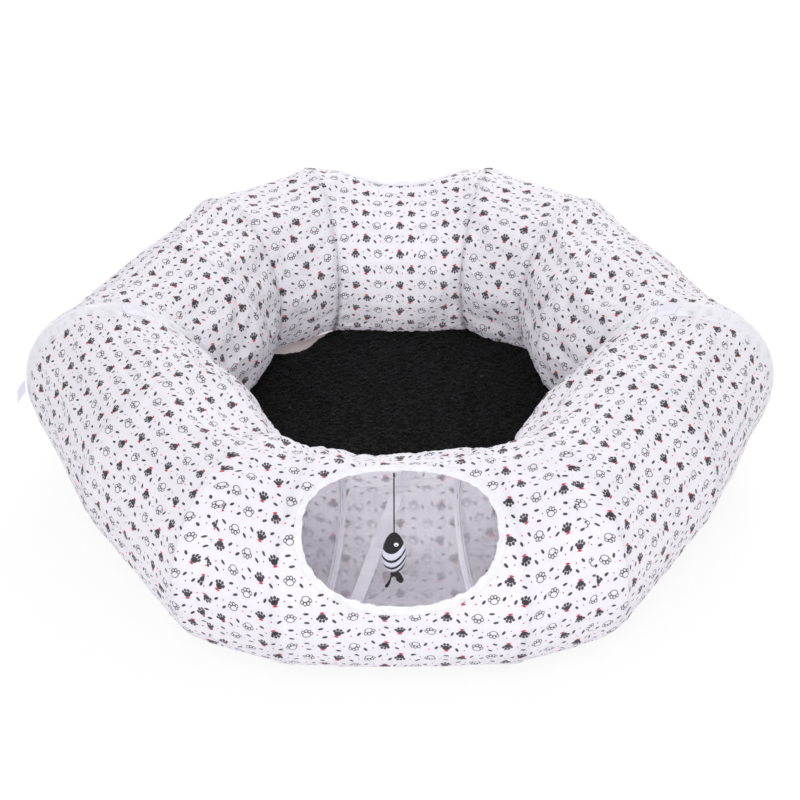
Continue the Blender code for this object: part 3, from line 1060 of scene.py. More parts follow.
def casing_band(half, number, cloth, finish):
    """The tape sewn over a hoop's wire inside the cloth. It follows the folds."""

    def place(across, around):
        turn = turn_of(around)
        distance = 0.012 * (across - 0.5)
        fine = noise.noise(Vector((turn * 24, across * 3.0, number + half.sign * 9.0)))
        inset = 0.0012 + 0.0044 * exp(-((distance / 0.0027) ** 2)) + 0.0002 * fine
        position = half.past(number, distance)
        smooth = half.point(position, turn, inset)
        direction = (half.point(position, turn) - half.point(position, turn, 0.05)).normalized()
        found = cloth.ray_cast(smooth - direction * 0.05, direction, 0.06)[0]
        if found and (found - smooth).dot(direction) < inset:
            return found - direction * inset
        return smooth

    def texture(across, around, middle):
        return (across * 0.012, around * 0.69)

    name = f"{half.side}_casing_band_{number}"
    mesh = grid_piece(name, 12, rows_around, place, texture)
    band = add_object(name, mesh, finish)
    build = edit(band)
    middle = half.point(number, 0)
    away = Vector((middle.x, middle.y, 0)).normalized() * 0.11
    inside = Vector((middle.x, middle.y, tunnel_height / 2)) - away
    face_away(build, inside)
    put_back(build, band)
    thicken(band, 0.0005, 1.0)
    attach(band, f"{half.side}_rib_{number}")
    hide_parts(f"{half.side}_casing_{number}")


def joint_tape_pair(side, sign, finish):
    """The loop tape of the front half and the hook tape of the back half."""
    front_body = "root" if sign > 0 else "front_end"
    back_body = "root" if sign > 0 else "back_end"
    layers = (("loop", front_body, 0.21402), ("hook", back_body, 0.21272))
    middle = joint_outer_radius - tunnel_height / 2
    for name, body, height in layers:

        def place(across, around):
            x = sign * middle + (across - 0.5) * 0.0238
            y = (around - 0.5) * 0.0358
            wave = noise.noise(Vector((x * 90, y * 90, height * 50)))
            bow = 0.0003 * cos(pi * (across - 0.5))
            return Vector((x, y, height + bow + 0.0001 * wave - 0.0002))

        def texture(across, around, middle_share):
            return (across * 0.024, around * 0.036)

        stem = f"{side}_{name}_tape"
        mesh = grid_piece(stem, 16, 24, place, texture)
        tape = add_object(stem, mesh, finish)
        thicken(tape, 0.0008, 0.0)
        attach(tape, body)
        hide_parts(f"{side}_joint_{name}_tape")


def joint_patch(side, sign, finish):
    """The square of tape that shows on the front half's hem at a joint."""
    half = front_half
    middle_turn = radians(103.5)

    def place(across, around):
        turn = middle_turn + (around - 0.5) * 0.024 / skin_radius
        distance = 0.0004 + 0.0250 * across
        position = end_position(half, sign > 0, distance)
        wave = noise.noise(Vector((turn * 20, across * 4, sign * 2.0)))
        edge = min(across, 1 - across, around, 1 - around)
        proud = 0.0018 - 0.0006 * exp(-((edge / 0.05) ** 2)) + 0.0003 * wave
        return half.point(position, turn, -proud)

    def texture(across, around, middle):
        return (across * 0.018, around * 0.024)

    mesh = grid_piece(f"{side}_joint_patch", 18, 24, place, texture)
    patch = add_object(f"{side}_joint_patch", mesh, finish)
    build = edit(patch)
    face_away(build, Vector((sign * 0.339, 0, 0.11)))
    put_back(build, patch)
    thicken(patch, 0.0009)
    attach(patch, "root" if sign > 0 else "front_end")


def strap_tab(finish):
    """The folded ribbon that ties the flat ring up, at the left joint."""
    turn = asin((0.117 - tunnel_height / 2) / 0.11137)
    reach = joint_outer_radius - tunnel_height / 2 + 0.11137 * cos(turn)
    pivot = Vector((-reach - 0.0012, -0.014, 0.117))
    droop = radians(55)
    swing = Matrix.Rotation(radians(12), 3, "Z")

    def place(across, around):
        loop = 2 * pi * across
        along = 0.0093 - 0.0093 * cos(loop)
        rise = sin(loop)
        rise = (1 if rise >= 0 else -1) * abs(rise) ** 0.7
        y = (around - 0.5) * 0.028
        curl = 0.0007 * sin(pi * along / 0.019) + 0.0004 * sin(y * 220)
        thick = 0.00062 * rise
        down = along * sin(droop)
        out = along * cos(droop)
        normal = Vector((-sin(droop), 0, cos(droop)))
        return pivot + swing @ (Vector((-out, y, -down)) + normal * (thick + curl - 0.0003))

    def texture(across, around, middle):
        return (across * 0.04, around * 0.028)

    mesh = grid_piece("strap_ribbon", 32, 24, place, texture)
    strap = add_object("strap_ribbon", mesh, finish)
    build = edit(strap)
    rims = [edge for edge in build.edges if edge.is_boundary]
    bmesh.ops.holes_fill(build, edges=rims, sides=0)
    bmesh.ops.recalc_face_normals(build, faces=build.faces)
    put_back(build, strap)
    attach(strap, "storage_strap")
    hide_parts("storage_strap")


def inner_wall_patch(name, cloth, rows, columns, left_edge, width, turns, lift, finish):
    """A flat trim on the front half's inner wall. It follows the cloth's folds and
    bends with the cloth, so it is made in a piece for each span that it crosses."""
    axis = Vector((0, front_half.point(4.5, 0).y, tunnel_height / 2))
    axis.y += skin_radius

    def place(across, around):
        turn = turns[0] + (turns[1] - turns[0]) * around
        x = left_edge(around) + width * across
        direction = Vector((0, -cos(turn), sin(turn)))
        start = Vector((x, axis.y, axis.z))
        found = cloth.ray_cast(start, direction)[0]
        return found - direction * lift

    def texture(across, around, middle):
        return (across * width, around * skin_radius * abs(turns[1] - turns[0]))

    mesh = grid_piece(name, columns, rows, place, texture)
    patches = []
    for side, sign, low, high, first, second in middle_spans(front_half):
        if all(vert.co.x * sign <= 0 for vert in mesh.vertices):
            continue
        patch = add_object(f"{name}_{side}", mesh.copy(), finish)
        build = edit(patch)
        keep_side(build, sign)
        build.normal_update()
        face = next(iter(build.faces))
        if face.normal.dot(axis - face.calc_center_median()) < 0:
            bmesh.ops.reverse_faces(build, faces=build.faces)
        put_back(build, patch)
        thicken(patch, 0.0005, 0.0)
        bend_between(front_half, patch, first, second, low, high)
        patches.append(patch)
    return patches


def seam_tape(cloth, finish):
    tapes = inner_wall_patch(
        "slanting_seam_tape",
        cloth,
        120,
        8,
        lambda around: -0.0572 + 0.0812 * around,
        0.0152,
        (radians(252), radians(131)),
        0.0013,
        finish,
    )
    for tape in tapes:
        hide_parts("front_seam_tape")


def blank_label(cloth, finish):
    (label,) = inner_wall_patch(
        "blank_label",
        cloth,
        16,
        24,
        lambda around: 0.0105 + 0.001 * around,
        0.0245,
        (radians(174), radians(168)),
        0.0024,
        finish,
    )
    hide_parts("care_label")


# Mat

def middle_reach(half, direction):
    """How far the tunnel's middle line is from the ring's middle, in plan."""
    for first, second in zip(half.stations, half.stations[1:]):
        if abs(direction) <= abs(second.angle):
            break
    start = first.point(0, 0)
    step = second.point(0, 0) - start
    across = cos(direction) * step.y - sin(direction) * step.x
    return (start.x * step.y - start.y * step.x) / across


def wall_share(half, direction):
    """The hoops either side of a plan direction, and how far it is between them."""
    for first, second in zip(half.stations, half.stations[1:]):
        if abs(direction) <= abs(second.angle):
            break
    return first, second, (direction - first.angle) / (second.angle - first.angle)


def mat_reach(direction, settings):
    """How far the mat reaches in a plan direction before the cloth stops it."""
    half = front_half if direction < 0 else back_half
    clearance = 0.0035 if direction < 0 else 0.0006
    first, second, share = wall_share(half, direction)
    edge_height = 0.0215
    stops = []
    for hoop in (first, second):
        drop = (edge_height - hoop.middle_height) / (skin_radius * hoop.tall)
        stops.append(skin_radius * sqrt(1 - drop**2) * hoop.wide)
    bulge = stops[0] + (stops[1] - stops[0]) * share
    return min(settings.radius, middle_reach(half, direction) - bulge - clearance)


def pull_back(direction):
    """How far the plush is drawn in at the left back, where its backing shows."""
    return 0.028 * exp(-(((degrees(direction) - 122) / 9) ** 2))


def disc_point(across, around):
    """A point of a round disc for a point of a square: radius and direction."""
    x = 2 * across - 1
    y = 2 * around - 1
    if abs(x) < 1e-9 and abs(y) < 1e-9:
        return 0.0, 0.0
    if abs(x) > abs(y):
        radius, turn = x, pi / 4 * y / x
    else:
        radius, turn = y, pi / 2 - pi / 4 * x / y
    if radius < 0:
        radius, turn = -radius, turn + pi
    return radius, atan2(sin(turn), cos(turn))


def mat_profile(share):
    """How far out and how high the cover is, from its middle to its base."""
    top_end = 0.93
    if share <= top_end:
        out = share / top_end
        rise = 0.0105 * cos(pi / 2 * out)
        return out, 0.0006 * out, 0.0215 + rise
    turn = pi / 2 * (share - top_end) / (1 - top_end)
    draw = 0.0006 * (1 - sin(turn)) + 0.006 * (1 - cos(turn))
    return 1.0, draw, 0.0215 - 0.0175 * (1 - cos(turn))


def curl(x, y):
    """Height of the pile's curls at a place, 0 to 1."""
    place = Vector((x * 185, y * 120, 0.3))
    twist = noise.noise_vector(place * 0.55) * 1.1
    distances, _ = noise.voronoi(place + twist)
    knot = max(0.0, 1 - distances[0] * 1.25)
    fine = 0.5 + 0.5 * noise.noise(place * 2.6)
    return 0.72 * knot + 0.28 * fine


def plush_cover(settings, finish):
    """The mat's cover of short curly pile, domed and closed underneath."""

    def place(across, around):
        share, direction = disc_point(across, around)
        out, draw, height = mat_profile(share)
        reach = mat_reach(direction, settings) - pull_back(direction)
        flat = reach * out - draw
        x = flat * cos(direction)
        y = flat * sin(direction)
        broad = noise.noise(Vector((x * 14, y * 14, 0.7)))
        pile = curl(x, y) * settings.pile
        edge = swell(share, 0.90, 1.0)
        height += broad * 0.0022 * (1 - edge) + pile * (1 - 0.8 * edge)
        ragged = 0.0016 * curl(x + 0.3, y + 0.1) * edge
        x += ragged * cos(direction) - 0.0012 * cos(direction) * edge
        y += ragged * sin(direction) - 0.0012 * sin(direction) * edge
        return Vector((x, y, height))

    def texture(across, around, middle):
        share, direction = disc_point(across, around)
        reach = 0.26 * share
        return (reach * cos(direction), reach * sin(direction))

    mesh = grid_piece("plush_cover", 280, 280, place, texture)
    cover = add_object("plush_cover", mesh, finish)
    build = edit(cover)
    rim = [edge for edge in build.edges if edge.is_boundary]
    made = bmesh.ops.extrude_edge_only(build, edges=rim)
    low = [item for item in made["geom"] if isinstance(item, bmesh.types.BMVert)]
    for vert in low:
        vert.co.x *= 0.992
        vert.co.y *= 0.992
        vert.co.z = 0.0019
    rim = [edge for edge in build.edges if edge.is_boundary]
    bmesh.ops.edgeloop_fill(build, edges=rim)
    bmesh.ops.recalc_face_normals(build, faces=build.faces)
    put_back(build, cover)
    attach(cover, "mat")
    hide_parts("mat_plush")
    return cover


def backing_cloth(settings, finish):
    """The cloth under the mat. Its edge shows where the plush is drawn in."""

    def place(across, around):
        share, direction = disc_point(across, around)
        drawn = pull_back(direction) / 0.028
        reach = mat_reach(direction, settings) + 0.0006 + 0.0045 * drawn
        x = reach * share * cos(direction)
        y = reach * share * sin(direction)
        show = swell(share, 0.86, 0.97) * swell(drawn, 0.0, 0.10)
        wave = noise.noise(Vector((x * 60, y * 60, 2.0)))
        height = 0.0009 + show * (0.0165 + 0.001 * wave)
        return Vector((x, y, height))

    def texture(across, around, middle):
        return (across * 0.52, around * 0.52)

    mesh = grid_piece("mat_backing_cloth", 120, 120, place, texture)
    cloth = add_object("mat_backing_cloth", mesh, finish)
    thicken(cloth, 0.0012, 0.0)
    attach(cloth, "mat")
    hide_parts("mat_backing")


# Fish toy

def fish_swell(level):
    """How full the fish is at a level from -1 at its root to 1 at its head."""
    return 1.0 - 0.16 * level - 0.14 * max(0.0, -level) ** 2


toy_x = -0.006
toy_y = -0.3230
eye_shift = 0.0022
eye_radius = 0.0025
knot_height = 0.2111
string_top = 0.2086
fish_length = 0.053


def toy_knot_piece(finish):
    """The knot that holds the string under the binding."""
    mesh = bpy.data.meshes.new("string_knot")
    build = bmesh.new()
    bmesh.ops.create_uvsphere(build, u_segments=32, v_segments=24, radius=0.0022)
    for vert in build.verts:
        turn = atan2(vert.co.y, vert.co.x)
        twist = sin(2 * turn + vert.co.z * 2400)
        vert.co.x *= 0.42 * (1 + 0.10 * twist)
        vert.co.y *= 0.42 * (1 + 0.10 * twist)
        vert.co.z *= 1.35
        vert.co += Vector((toy_x, toy_y + 0.0005 * (1 + vert.co.z / 0.003), knot_height + 0.0011))
    build.to_mesh(mesh)
    build.free()
    knot = add_object("string_knot", mesh, finish)
    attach(knot, "toy_knot")
    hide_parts("toy_knot")
    return knot


def toy_cord(settings, finish):
    """The string, straight down from its knot to the fish."""
    curve = bpy.data.curves.new("fish_string", "CURVE")
    curve.dimensions = "3D"
    curve.bevel_depth = settings.string_diameter / 2
    curve.bevel_resolution = 4
    curve.use_fill_caps = True
    spline = curve.splines.new("POLY")
    spline.points.add(20)
    for step, point in enumerate(spline.points):
        drop = settings.string_length * step / 20
        point.co = (toy_x, toy_y, string_top - drop, 1.0)
    string = bpy.data.objects.new("fish_string", curve)
    bpy.context.scene.collection.objects.link(string)
    curve.materials.append(finish)
    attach(string, "toy_string")
    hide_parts("toy_string")


def fish_pieces(settings, body_finish, felt_finish, eye_finish):
    """The stuffed fish, head up: body, forked tail and two eyes."""
    top = string_top - settings.string_length - 0.0003
    middle = top - fish_length / 2
    mesh = bpy.data.meshes.new("fish_cover")
    build = bmesh.new()
    bmesh.ops.create_uvsphere(build, u_segments=64, v_segments=48, radius=1.0)
    for vert in build.verts:
        swelling = fish_swell(vert.co.z)
        felt = 1 + 0.012 * noise.noise(vert.co * 5) + 0.006 * noise.noise(vert.co * 17)
        seam = 1 - 0.03 * exp(-((vert.co.y / 0.05) ** 2))
        vert.co.x *= 0.0125 * swelling * felt * (seam if abs(vert.co.x) > 0.5 else 1)
        vert.co.y *= 0.0065 * swelling * felt
        vert.co.z *= fish_length / 2
        vert.co += Vector((toy_x, toy_y, middle))
    build.to_mesh(mesh)
    build.free()
    body = add_object("fish_cover", mesh, body_finish)
    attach(body, "fish")
    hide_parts("fish_body")
    fish_tail_felt(top - fish_length, felt_finish)

    level = 2 * 0.78 - 1
    thickness = 0.0065 * fish_swell(level) * sqrt(1 - level**2)
    for name, side in (("front", -1), ("back", 1)):
        mesh = bpy.data.meshes.new(f"fish_eye_{name}_disc")
        build = bmesh.new()
        bmesh.ops.create_uvsphere(build, u_segments=32, v_segments=16, radius=eye_radius)
        for vert in build.verts:
            ring = abs(vert.co.z) / eye_radius
            vert.co.z *= 0.36 * (0.7 + 0.3 * ring)
        bmesh.ops.rotate(
            build,
            verts=build.verts,
            cent=(0, 0, 0),
            matrix=Matrix.Rotation(side * -pi / 2, 3, "X"),
        )
        height = middle + fish_length / 2 * level
        place = Vector((toy_x + eye_shift, toy_y + side * (thickness + 0.0003), height))
        bmesh.ops.translate(build, verts=build.verts, vec=place)
        build.to_mesh(mesh)
        build.free()
        eye = add_object(f"fish_eye_{name}_disc", mesh, eye_finish)
        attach(eye, "fish")
        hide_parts(f"fish_eye_{name}")


tail_outline_shares = (
    (-0.30, 0.00),
    (-0.34, 0.28),
    (-0.78, 0.84),
    (-0.98, 1.00),
    (-0.86, 1.02),
    (-0.60, 0.86),
    (-0.02, 0.26),
    (0.42, 0.62),
    (0.74, 0.72),
    (0.98, 0.58),
    (0.86, 0.34),
    (0.34, 0.00),
)


def fish_tail_felt(root, finish):
    """The forked tail: one prong long and thin, the other short and blunt."""
    curve = bpy.data.curves.new("fish_tail_felt", "CURVE")
    curve.dimensions = "2D"
    curve.fill_mode = "BOTH"
    curve.extrude = 0.0005
    curve.bevel_depth = 0.0006
    curve.bevel_resolution = 2
    curve.resolution_u = 8
    spline = curve.splines.new("BEZIER")
    spline.bezier_points.add(len(tail_outline_shares) - 1)
    for point, (across, down) in zip(spline.bezier_points, tail_outline_shares):
        point.co = (0.0092 * across, -0.0195 * down, 0)
        point.handle_left_type = "AUTO"
        point.handle_right_type = "AUTO"
    spline.use_cyclic_u = True
    drawn = bpy.data.objects.new("tail_outline", curve)
    bpy.context.scene.collection.objects.link(drawn)
    graph = bpy.context.evaluated_depsgraph_get()
    mesh = bpy.data.meshes.new_from_object(drawn.evaluated_get(graph))
    bpy.data.objects.remove(drawn, do_unlink=True)
    tail = add_object("fish_tail_felt", mesh, finish)
    build = edit(tail)
    bmesh.ops.remove_doubles(build, verts=build.verts, dist=0.00001)
    bmesh.ops.rotate(
        build, verts=build.verts, cent=(0, 0, 0), matrix=Matrix.Rotation(pi / 2, 3, "X")
    )
    bmesh.ops.translate(build, verts=build.verts, vec=(toy_x, toy_y, root + 0.0008))
    for vert in build.verts:
        drop = (root - vert.co.z) / 0.02
        vert.co.y += 0.0012 * sin(drop * 3) * drop
    bmesh.ops.recalc_face_normals(build, faces=build.faces)
    put_back(build, tail)
    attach(tail, "fish")
    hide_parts("fish_tail")


# Finishes

class Finish:
    """A material made node by node: each call adds one and gives its output."""

    def __init__(self, name, colour, roughness, metallic=0.0):
        self.material = bpy.data.materials.new(name)
        self.material.use_nodes = True
        self.tree = self.material.node_tree
        self.shader = self.tree.nodes["Principled BSDF"]
        self.set("Base Color", (*colour, 1.0))
        self.set("Roughness", roughness)
        self.set("Metallic", metallic)

    def set(self, socket, value):
        self.feed(self.shader.inputs[socket], value)

    def feed(self, socket, value):
        if isinstance(value, bpy.types.NodeSocket):
            self.tree.links.new(value, socket)
        else:
            socket.default_value = value

    def add(self, kind, **settings):
        node = self.tree.nodes.new(kind)
        for name, value in settings.items():
            setattr(node, name, value)
        return node

    def number(self, operation, *values):
        node = self.add("ShaderNodeMath", operation=operation)
        for socket, value in zip(node.inputs, values):
            self.feed(socket, value)
        return node.outputs[0]

    def vector(self, operation, *values):
        node = self.add("ShaderNodeVectorMath", operation=operation)
        for socket, value in zip(node.inputs, values):
            self.feed(socket, value)
        return node.outputs["Value" if operation in ("LENGTH", "DOT_PRODUCT") else "Vector"]

    def join(self, x, y, z=0.0):
        node = self.add("ShaderNodeCombineXYZ")
        for socket, value in zip(node.inputs, (x, y, z)):
            self.feed(socket, value)
        return node.outputs[0]

    def parts(self, vector):
        node = self.add("ShaderNodeSeparateXYZ")
        self.feed(node.inputs[0], vector)
        return node.outputs

    def step(self, value, low, high, start=0.0, end=1.0):
        node = self.add("ShaderNodeMapRange", interpolation_type="SMOOTHSTEP")
        for socket, given in zip(node.inputs, (value, low, high, start, end)):
            self.feed(socket, given)
        return node.outputs[0]

    def mix(self, share, first, second):
        node = self.add("ShaderNodeMix", data_type="RGBA")
        self.feed(node.inputs[0], share)
        for socket, colour in ((node.inputs[6], first), (node.inputs[7], second)):
            self.feed(socket, (*colour, 1.0) if isinstance(colour, tuple) else colour)
        return node.outputs[2]

    def object_place(self):
        return self.add("ShaderNodeTexCoord").outputs["Object"]

    def cloth_place(self):
        return self.add("ShaderNodeUVMap", uv_map="cloth").outputs[0]

    def grain(self, place, scale, detail=3.0, roughness=0.55):
        node = self.add("ShaderNodeTexNoise")
        self.feed(node.inputs["Vector"], place)
        self.feed(node.inputs["Scale"], scale)
        self.feed(node.inputs["Detail"], detail)
        self.feed(node.inputs["Roughness"], roughness)
        return node.outputs[0]

    def bands(self, place, scale, direction="X"):
        node = self.add("ShaderNodeTexWave", bands_direction=direction)
        self.feed(node.inputs["Vector"], place)
        self.feed(node.inputs["Scale"], scale)
        return node.outputs["Fac"]

    def bump(self, height, distance, strength, onto=None):
        node = self.add("ShaderNodeBump")
        self.feed(node.inputs["Height"], height)
        self.feed(node.inputs["Distance"], distance)
        self.feed(node.inputs["Strength"], strength)
        if onto:
            self.feed(node.inputs["Normal"], onto)
        self.set("Normal", node.outputs[0])
        return node.outputs[0]

    def shine(self, share, colour, normal):
        """Lets a share of the light through the cloth, in a colour."""
        through = self.add("ShaderNodeBsdfTranslucent")
        self.feed(through.inputs["Color"], colour)
        self.feed(through.inputs["Normal"], normal)
        both = self.add("ShaderNodeMixShader")
        both.inputs[0].default_value = share
        self.tree.links.new(self.shader.outputs[0], both.inputs[1])
        self.tree.links.new(through.outputs[0], both.inputs[2])
        self.tree.links.new(both.outputs[0], self.tree.nodes["Material Output"].inputs[0])

    def oval(self, place, middle, sizes):
        """Distance to an oval's edge, below 0 inside it, in metres."""
        offset = self.vector("SUBTRACT", place, (*middle, 0.0))
        share = self.vector("DIVIDE", offset, (*sizes, 1.0))
        size = min(sizes)
        return self.number("MULTIPLY_ADD", self.vector("LENGTH", share), size, -size)

    def nearest(self, distances):
        least = distances[0]
        for distance in distances[1:]:
            least = self.number("MINIMUM", least, distance)
        return least


paw_ovals = (
    ((0.0000, -0.0014), (0.0037, 0.0030)),
    ((-0.0042, 0.0010), (0.0014, 0.0018)),
    ((-0.0016, 0.0034), (0.0014, 0.0019)),
    ((0.0016, 0.0034), (0.0014, 0.0019)),
    ((0.0042, 0.0010), (0.0014, 0.0018)),
)


def cell_noise(finish, column, row, seed):
    node = finish.add("ShaderNodeTexWhiteNoise", noise_dimensions="3D")
    finish.feed(node.inputs["Vector"], finish.join(column, row, seed))
    return node.outputs["Value"]


def turned(finish, place, angle):
    node = finish.add("ShaderNodeVectorRotate", rotation_type="Z_AXIS")
    finish.feed(node.inputs["Vector"], place)
    finish.feed(node.inputs["Angle"], angle)
    return node.outputs[0]


def print_marks(finish, settings, blur):
    """Masks of the print: its dark ink and its red accents. Paw marks lie on a
    staggered lattice, solid and outlined by turns along its slanting lines."""
    pitch = settings.print_column
    row_pitch = settings.print_row
    place = finish.cloth_place()
    u, v, _ = finish.parts(place)
    row = finish.number("FLOOR", finish.number("DIVIDE", v, row_pitch))
    odd = finish.number("FLOORED_MODULO", row, 2.0)
    shifted = finish.number("MULTIPLY_ADD", odd, pitch / 2, u)
    y = finish.number("SUBTRACT", v, finish.number("MULTIPLY_ADD", row, row_pitch, row_pitch / 2))

    column = finish.number("FLOOR", finish.number("DIVIDE", shifted, pitch))
    x = finish.number("SUBTRACT", shifted, finish.number("MULTIPLY_ADD", column, pitch, pitch / 2))
    chance = cell_noise(finish, column, row, 0.5)
    half_turns = finish.number("ROUND", cell_noise(finish, column, row, 3.5))
    lean = finish.number("MULTIPLY_ADD", chance, 1.0, -0.5)
    angle = finish.number("MULTIPLY_ADD", half_turns, pi, lean)
    local = turned(finish, finish.join(x, y), angle)
    paw = finish.nearest([finish.oval(local, *oval) for oval in paw_ovals])
    accent = finish.oval(local, (0.0, -0.0054), (0.0025, 0.0010))
    kind = finish.number("FLOORED_MODULO", finish.number("ADD", column, row), 2.0)
    line = finish.number("SUBTRACT", finish.number("ABSOLUTE", paw), 0.00036)
    motif = finish.number(
        "ADD",
        finish.number("MULTIPLY", paw, kind),
        finish.number("MULTIPLY", line, finish.number("SUBTRACT", 1.0, kind)),
    )
    no_accent = finish.number("MULTIPLY", finish.number("SUBTRACT", 1.0, kind), 1.0)
    accent = finish.number("ADD", accent, no_accent)

    between = finish.number("ADD", shifted, pitch / 2)
    gap = finish.number("FLOOR", finish.number("DIVIDE", between, pitch))
    gap_x = finish.number("SUBTRACT", between, finish.number("MULTIPLY_ADD", gap, pitch, pitch / 2))
    roll = cell_noise(finish, gap, row, 7.5)
    filler = turned(
        finish,
        finish.join(gap_x, y),
        finish.number("MULTIPLY_ADD", roll, 2.4, -1.2),
    )
    seeds = [
        finish.oval(filler, (-0.0008, 0.0054), (0.0027, 0.0013)),
        finish.oval(filler, (0.0012, -0.0056), (0.0027, 0.0013)),
        finish.oval(filler, (0.0052, 0.0008), (0.0007, 0.0007)),
    ]
    speck = finish.oval(filler, (-0.0052, -0.0010), (0.0008, 0.0008))
    dark = finish.nearest([motif, *seeds])
    red = finish.nearest([accent, speck])
    dark_mask = finish.step(dark, blur, -blur)
    red_mask = finish.step(red, blur, -blur)
    return dark_mask, red_mask


pale_light = (0.985, 0.979, 0.992)
ink_light = (0.24, 0.21, 0.24)


def printed_cloth_finish(settings):
    finish = Finish("printed_cloth_outside", settings.colour, 0.62)
    ground = tuple(settings.colour)
    place = finish.object_place()
    mottle = finish.grain(place, 26.0, 3.0)
    shade = finish.mix(
        finish.step(mottle, 0.3, 0.7), tuple(part * 0.975 for part in ground), ground
    )
    dark, red = print_marks(finish, settings, 0.00012)
    worn = finish.grain(place, 900.0, 2.0)
    ink = tuple(settings.ink_colour)
    ink_shade = finish.mix(worn, ink, tuple(part * 1.6 for part in ink))
    printed = finish.mix(dark, shade, ink_shade)
    printed = finish.mix(red, printed, tuple(settings.accent_colour))
    finish.set("Base Color", printed)
    shone = finish.mix(dark, pale_light, ink_light)
    shone = finish.mix(red, shone, tuple(settings.accent_colour))
    cloth_feel(finish, place, shone, 0.50)
    return finish.material


def cloth_feel(finish, place, colour, through):
    """Fine crumples, the weave, a faint sheen and light that shines through."""
    stretch = finish.add("ShaderNodeMapping")
    finish.feed(stretch.inputs["Vector"], place)
    stretch.inputs["Scale"].default_value = (1.0, 1.0, 0.45)
    creases = finish.add("ShaderNodeTexNoise", noise_type="RIDGED_MULTIFRACTAL")
    finish.feed(creases.inputs["Vector"], stretch.outputs[0])
    finish.feed(creases.inputs["Scale"], 24.0)
    finish.feed(creases.inputs["Detail"], 2.0)
    onto = finish.bump(creases.outputs[0], 0.0020, 0.50)
    weave = finish.cloth_place()
    thread = finish.number(
        "MULTIPLY", finish.bands(weave, 480.0, "X"), finish.bands(weave, 480.0, "Y")
    )
    normal = finish.bump(thread, 0.00006, 0.25, onto)
    finish.set("Sheen Weight", 0.12)
    finish.set("Sheen Roughness", 0.4)
    finish.shine(through, colour, normal)


def reverse_cloth_finish(name, settings, ground, contrast, through):
    """The unprinted side, where the print shows through as blurred ghosts."""
    finish = Finish(name, ground, 0.68)
    place = finish.object_place()
    mottle = finish.grain(place, 18.0, 3.0)
    shade = finish.mix(
        finish.step(mottle, 0.3, 0.7), tuple(part * 0.96 for part in ground), ground
    )
    dark, red = print_marks(finish, settings, 0.0013)
    ghost = finish.number("MULTIPLY", dark, contrast)
    ghost_colour = tuple(0.42 * part for part in ground)
    ghosted = finish.mix(ghost, shade, ghost_colour)
    finish.set("Base Color", ghosted)
    cloth_feel(finish, place, finish.mix(ghost, pale_light, ghost_colour), through)
    return finish.material


def white_tape_finish(name, colour, rib_scale, mottling=0.05):
    """A woven white tape: fine ribs across it and slight shade variation."""
    finish = Finish(name, colour, 0.78)
    place = finish.object_place()
    mottle = finish.grain(place, 60.0, 3.0)
    dull = tuple(part * (1 - mottling) for part in colour)
    finish.set("Base Color", finish.mix(finish.step(mottle, 0.35, 0.7), dull, tuple(colour)))
    weave = finish.cloth_place()
    onto = finish.bump(finish.bands(weave, rib_scale, "X"), 0.00012, 0.35)
    onto = finish.bump(finish.bands(weave, rib_scale * 1.3, "Y"), 0.00008, 0.30, onto)
    finish.bump(finish.grain(place, 240.0, 3.0), 0.0003, 0.35, onto)
    finish.set("Sheen Weight", 0.15)
    return finish.material


def wire_finish():
    finish = Finish("spring_wire_steel", screen_colour(176, 178, 182), 0.32, 1.0)
    place = finish.object_place()
    drawn = finish.grain(place, 160.0, 3.0)
    steel = finish.mix(drawn, screen_colour(150, 152, 158), screen_colour(196, 197, 200))
    finish.set("Base Color", steel)
    finish.set("Roughness", finish.step(drawn, 0.2, 0.8, 0.26, 0.42))
    finish.bump(finish.grain(place, 900.0, 2.0), 0.00004, 0.2)
    return finish.material


def wadding_finish():
    finish = Finish("fibre_wadding", screen_colour(236, 236, 234), 0.95)
    place = finish.object_place()
    fibre = finish.grain(place, 420.0, 5.0, 0.7)
    pale = finish.mix(fibre, screen_colour(222, 222, 220), screen_colour(243, 243, 241))
    finish.set("Base Color", pale)
    finish.bump(fibre, 0.0006, 0.6)
    return finish.material


def plush_finish(settings):
    """Black curly pile: painted highlights on the curls' tops and painted shade between them, a soft sheen
    and specks of lint.
    """
    colour = tuple(settings.colour)
    finish = Finish("curly_plush", colour, 0.88)
    place = finish.object_place()
    tips = finish.grain(place, 420.0, 4.0, 0.62)
    upright = finish.vector("MULTIPLY", place, (1.0, 0.62, 1.0))
    swirls = finish.add("ShaderNodeTexNoise")
    finish.feed(swirls.inputs["Vector"], upright)
    swirls.inputs["Scale"].default_value = 130.0
    swirls.inputs["Detail"].default_value = 2.0
    swirls.inputs["Distortion"].default_value = 2.2
    tufts = swirls.outputs[0]
    # painted highlight: the curls' tops are lightened in colour to stand in for the light on them, and the
    # rest is darkened as painted shade between the curls
    painted_highlight_mask = finish.number("MULTIPLY", finish.step(tips, 0.38, 0.70), finish.step(tufts, 0.46, 0.62))
    # lighter is the painted highlight colour of the curl tops; the quarter of the colour below is the
    # painted shade between the curls
    lighter = tuple(part * 5.0 + 0.005 for part in colour)
    pile = finish.mix(painted_highlight_mask, tuple(part * 0.25 for part in colour), lighter)
    cells = finish.add("ShaderNodeTexVoronoi", feature="F1")
    finish.feed(cells.inputs["Vector"], place)
    finish.feed(cells.inputs["Scale"], 120.0)
    finish.feed(cells.inputs["Randomness"], 1.0)
    tint = finish.parts(cells.outputs["Color"])
    rare = finish.step(tint[0], 0.982, 0.984)
    near = finish.step(cells.outputs["Distance"], 0.10, 0.04)
    lint = finish.number("MULTIPLY", finish.number("MULTIPLY", rare, near), 0.6)
    finish.set("Base Color", finish.mix(lint, pile, screen_colour(205, 200, 205)))
    onto = finish.bump(tufts, 0.0045, 1.0)
    finish.bump(tips, 0.0010, 0.9, onto)
    finish.set("Specular IOR Level", 0.14)
    finish.set("Sheen Weight", 0.02)
    finish.set("Sheen Roughness", 0.35)
    return finish.material


